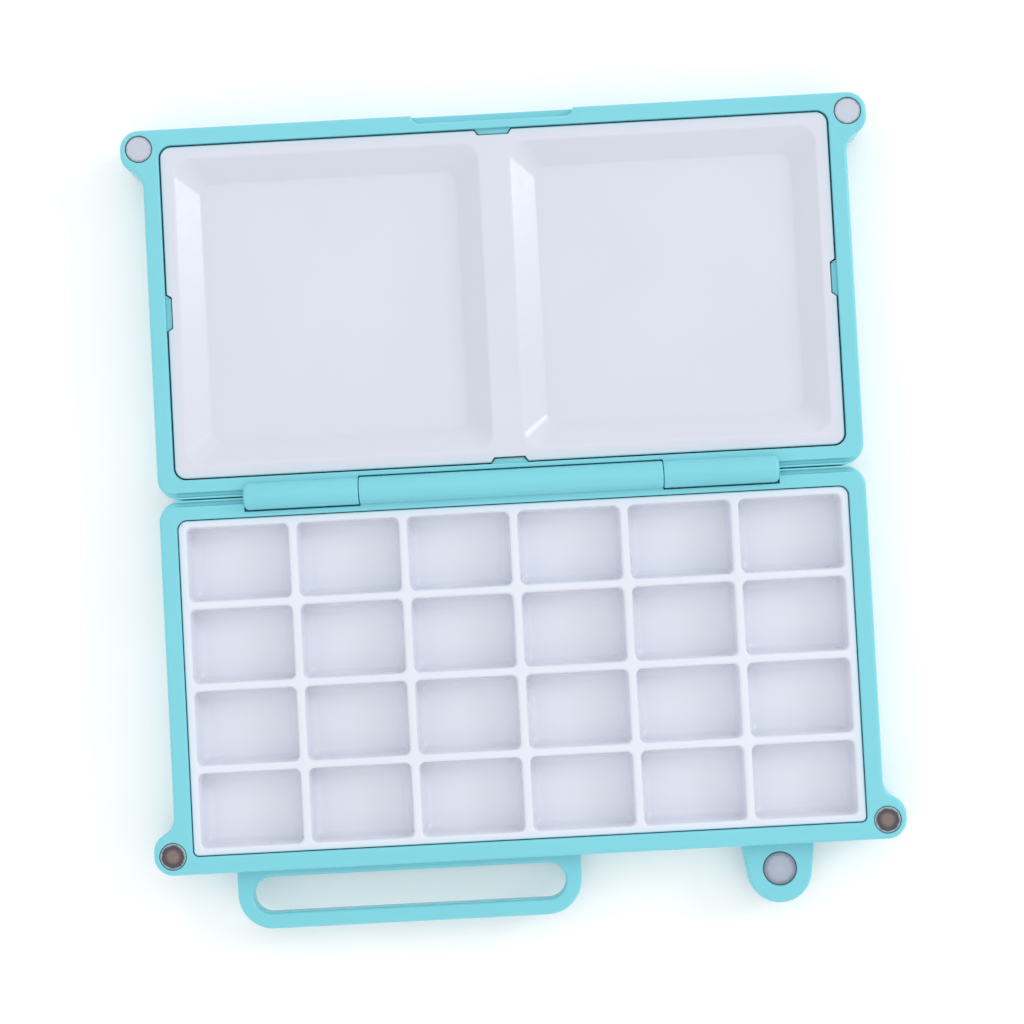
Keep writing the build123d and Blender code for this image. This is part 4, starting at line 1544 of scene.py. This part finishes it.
class PALETTE_OT_stage(bpy.types.Operator):
    """Lay the floor and set up light and camera"""

    bl_idname = "palette.stage"
    bl_label = "Studio"

    def execute(self, context):
        studio = context.scene.palette_studio
        half = studio.floor_half
        mesh = bpy.data.meshes.new("studio_floor")
        corners = [(-half, -half, 0.0), (half, -half, 0.0), (half, half, 0.0), (-half, half, 0.0)]
        mesh.from_pydata(corners, [], [(0, 1, 2, 3)])
        mesh.materials.append(palette_material(context, "studio_floor"))
        tool_object("studio_floor", mesh)

        middle = Vector((0.0, HINGE[1], 0.0))
        add_light("back_light", studio.back_place, middle, studio.back_size, studio.back_power)
        add_light("fill_light", studio.fill_place, middle, studio.fill_size, studio.fill_power)
        world = bpy.data.worlds.new("pale_room")
        world.use_nodes = True
        background = world.node_tree.nodes["Background"]
        background.inputs["Color"].default_value = (1.0, 1.0, 1.0, 1.0)
        background.inputs["Strength"].default_value = studio.room_strength
        context.scene.world = world

        turn = Euler((studio.tilt_x, studio.tilt_y, studio.turn_z), "XYZ")
        aim = Vector((studio.aim_x, studio.aim_y, BASE_RIM_Z))
        lens = bpy.data.cameras.new("photo_view")
        lens.sensor_width = SENSOR_WIDTH
        lens.lens = studio.focal_pixels / PICTURE_PIXELS * SENSOR_WIDTH
        lens.clip_start = CLIP_START
        camera = bpy.data.objects.new("photo_view", lens)
        context.scene.collection.objects.link(camera)
        camera.rotation_euler = turn
        camera.location = aim + turn.to_matrix() @ Vector((0.0, 0.0, studio.camera_distance))
        context.scene.camera = camera
        context.scene.view_settings.view_transform = "Standard"
        return {"FINISHED"}


def add_light(name, place, target, size, power):
    """A square area light that faces a point."""
    lamp = bpy.data.lights.new(name, "AREA")
    lamp.shape = "SQUARE"
    lamp.size = size
    lamp.energy = power
    light = bpy.data.objects.new(name, lamp)
    bpy.context.scene.collection.objects.link(light)
    light.location = place
    light.rotation_euler = (target - Vector(place)).to_track_quat("-Z", "Y").to_euler()


class PALETTE_PT_pieces(bpy.types.Panel):
    """Buttons for the pieces and their sizes"""

    bl_label = "Folding palette"
    bl_idname = "PALETTE_PT_pieces"
    bl_space_type = "VIEW_3D"
    bl_region_type = "UI"
    bl_category = "Palette"

    def draw(self, context):
        for operator in OPERATORS:
            self.layout.operator(operator.bl_idname)
        for group in GROUPS:
            box = self.layout.box()
            settings = getattr(context.scene, group)
            for key in type(settings).__annotations__:
                box.prop(settings, key)


OPERATORS = (
    PALETTE_OT_base_case,
    PALETTE_OT_lid_case,
    PALETTE_OT_pan_tray,
    PALETTE_OT_mixing_tray,
    PALETTE_OT_magnets,
    PALETTE_OT_pins,
    PALETTE_OT_stage,
)
GROUPS = {
    "palette_case": CaseSizes,
    "palette_fittings": FittingSizes,
    "palette_trays": TraySizes,
    "palette_colours": PaletteColours,
    "palette_studio": StudioSettings,
}


def register():
    """Adds the settings, the operators and the panel."""
    for name, group in GROUPS.items():
        bpy.utils.register_class(group)
        setattr(bpy.types.Scene, name, PointerProperty(type=group))
    for operator in OPERATORS:
        bpy.utils.register_class(operator)
    bpy.utils.register_class(PALETTE_PT_pieces)


def unregister():
    """Takes them away again."""
    bpy.utils.unregister_class(PALETTE_PT_pieces)
    for operator in reversed(OPERATORS):
        bpy.utils.unregister_class(operator)
    for name, group in reversed(GROUPS.items()):
        delattr(bpy.types.Scene, name)
        bpy.utils.unregister_class(group)


def main():
    """Builds every piece and the stage."""
    register()
    bpy.ops.palette.base_case()
    bpy.ops.palette.lid_case()
    bpy.ops.palette.pan_tray()
    bpy.ops.palette.mixing_tray()
    bpy.ops.palette.magnets()
    bpy.ops.palette.pins()
    bpy.ops.palette.stage()


if __name__ == "__main__":
    main()
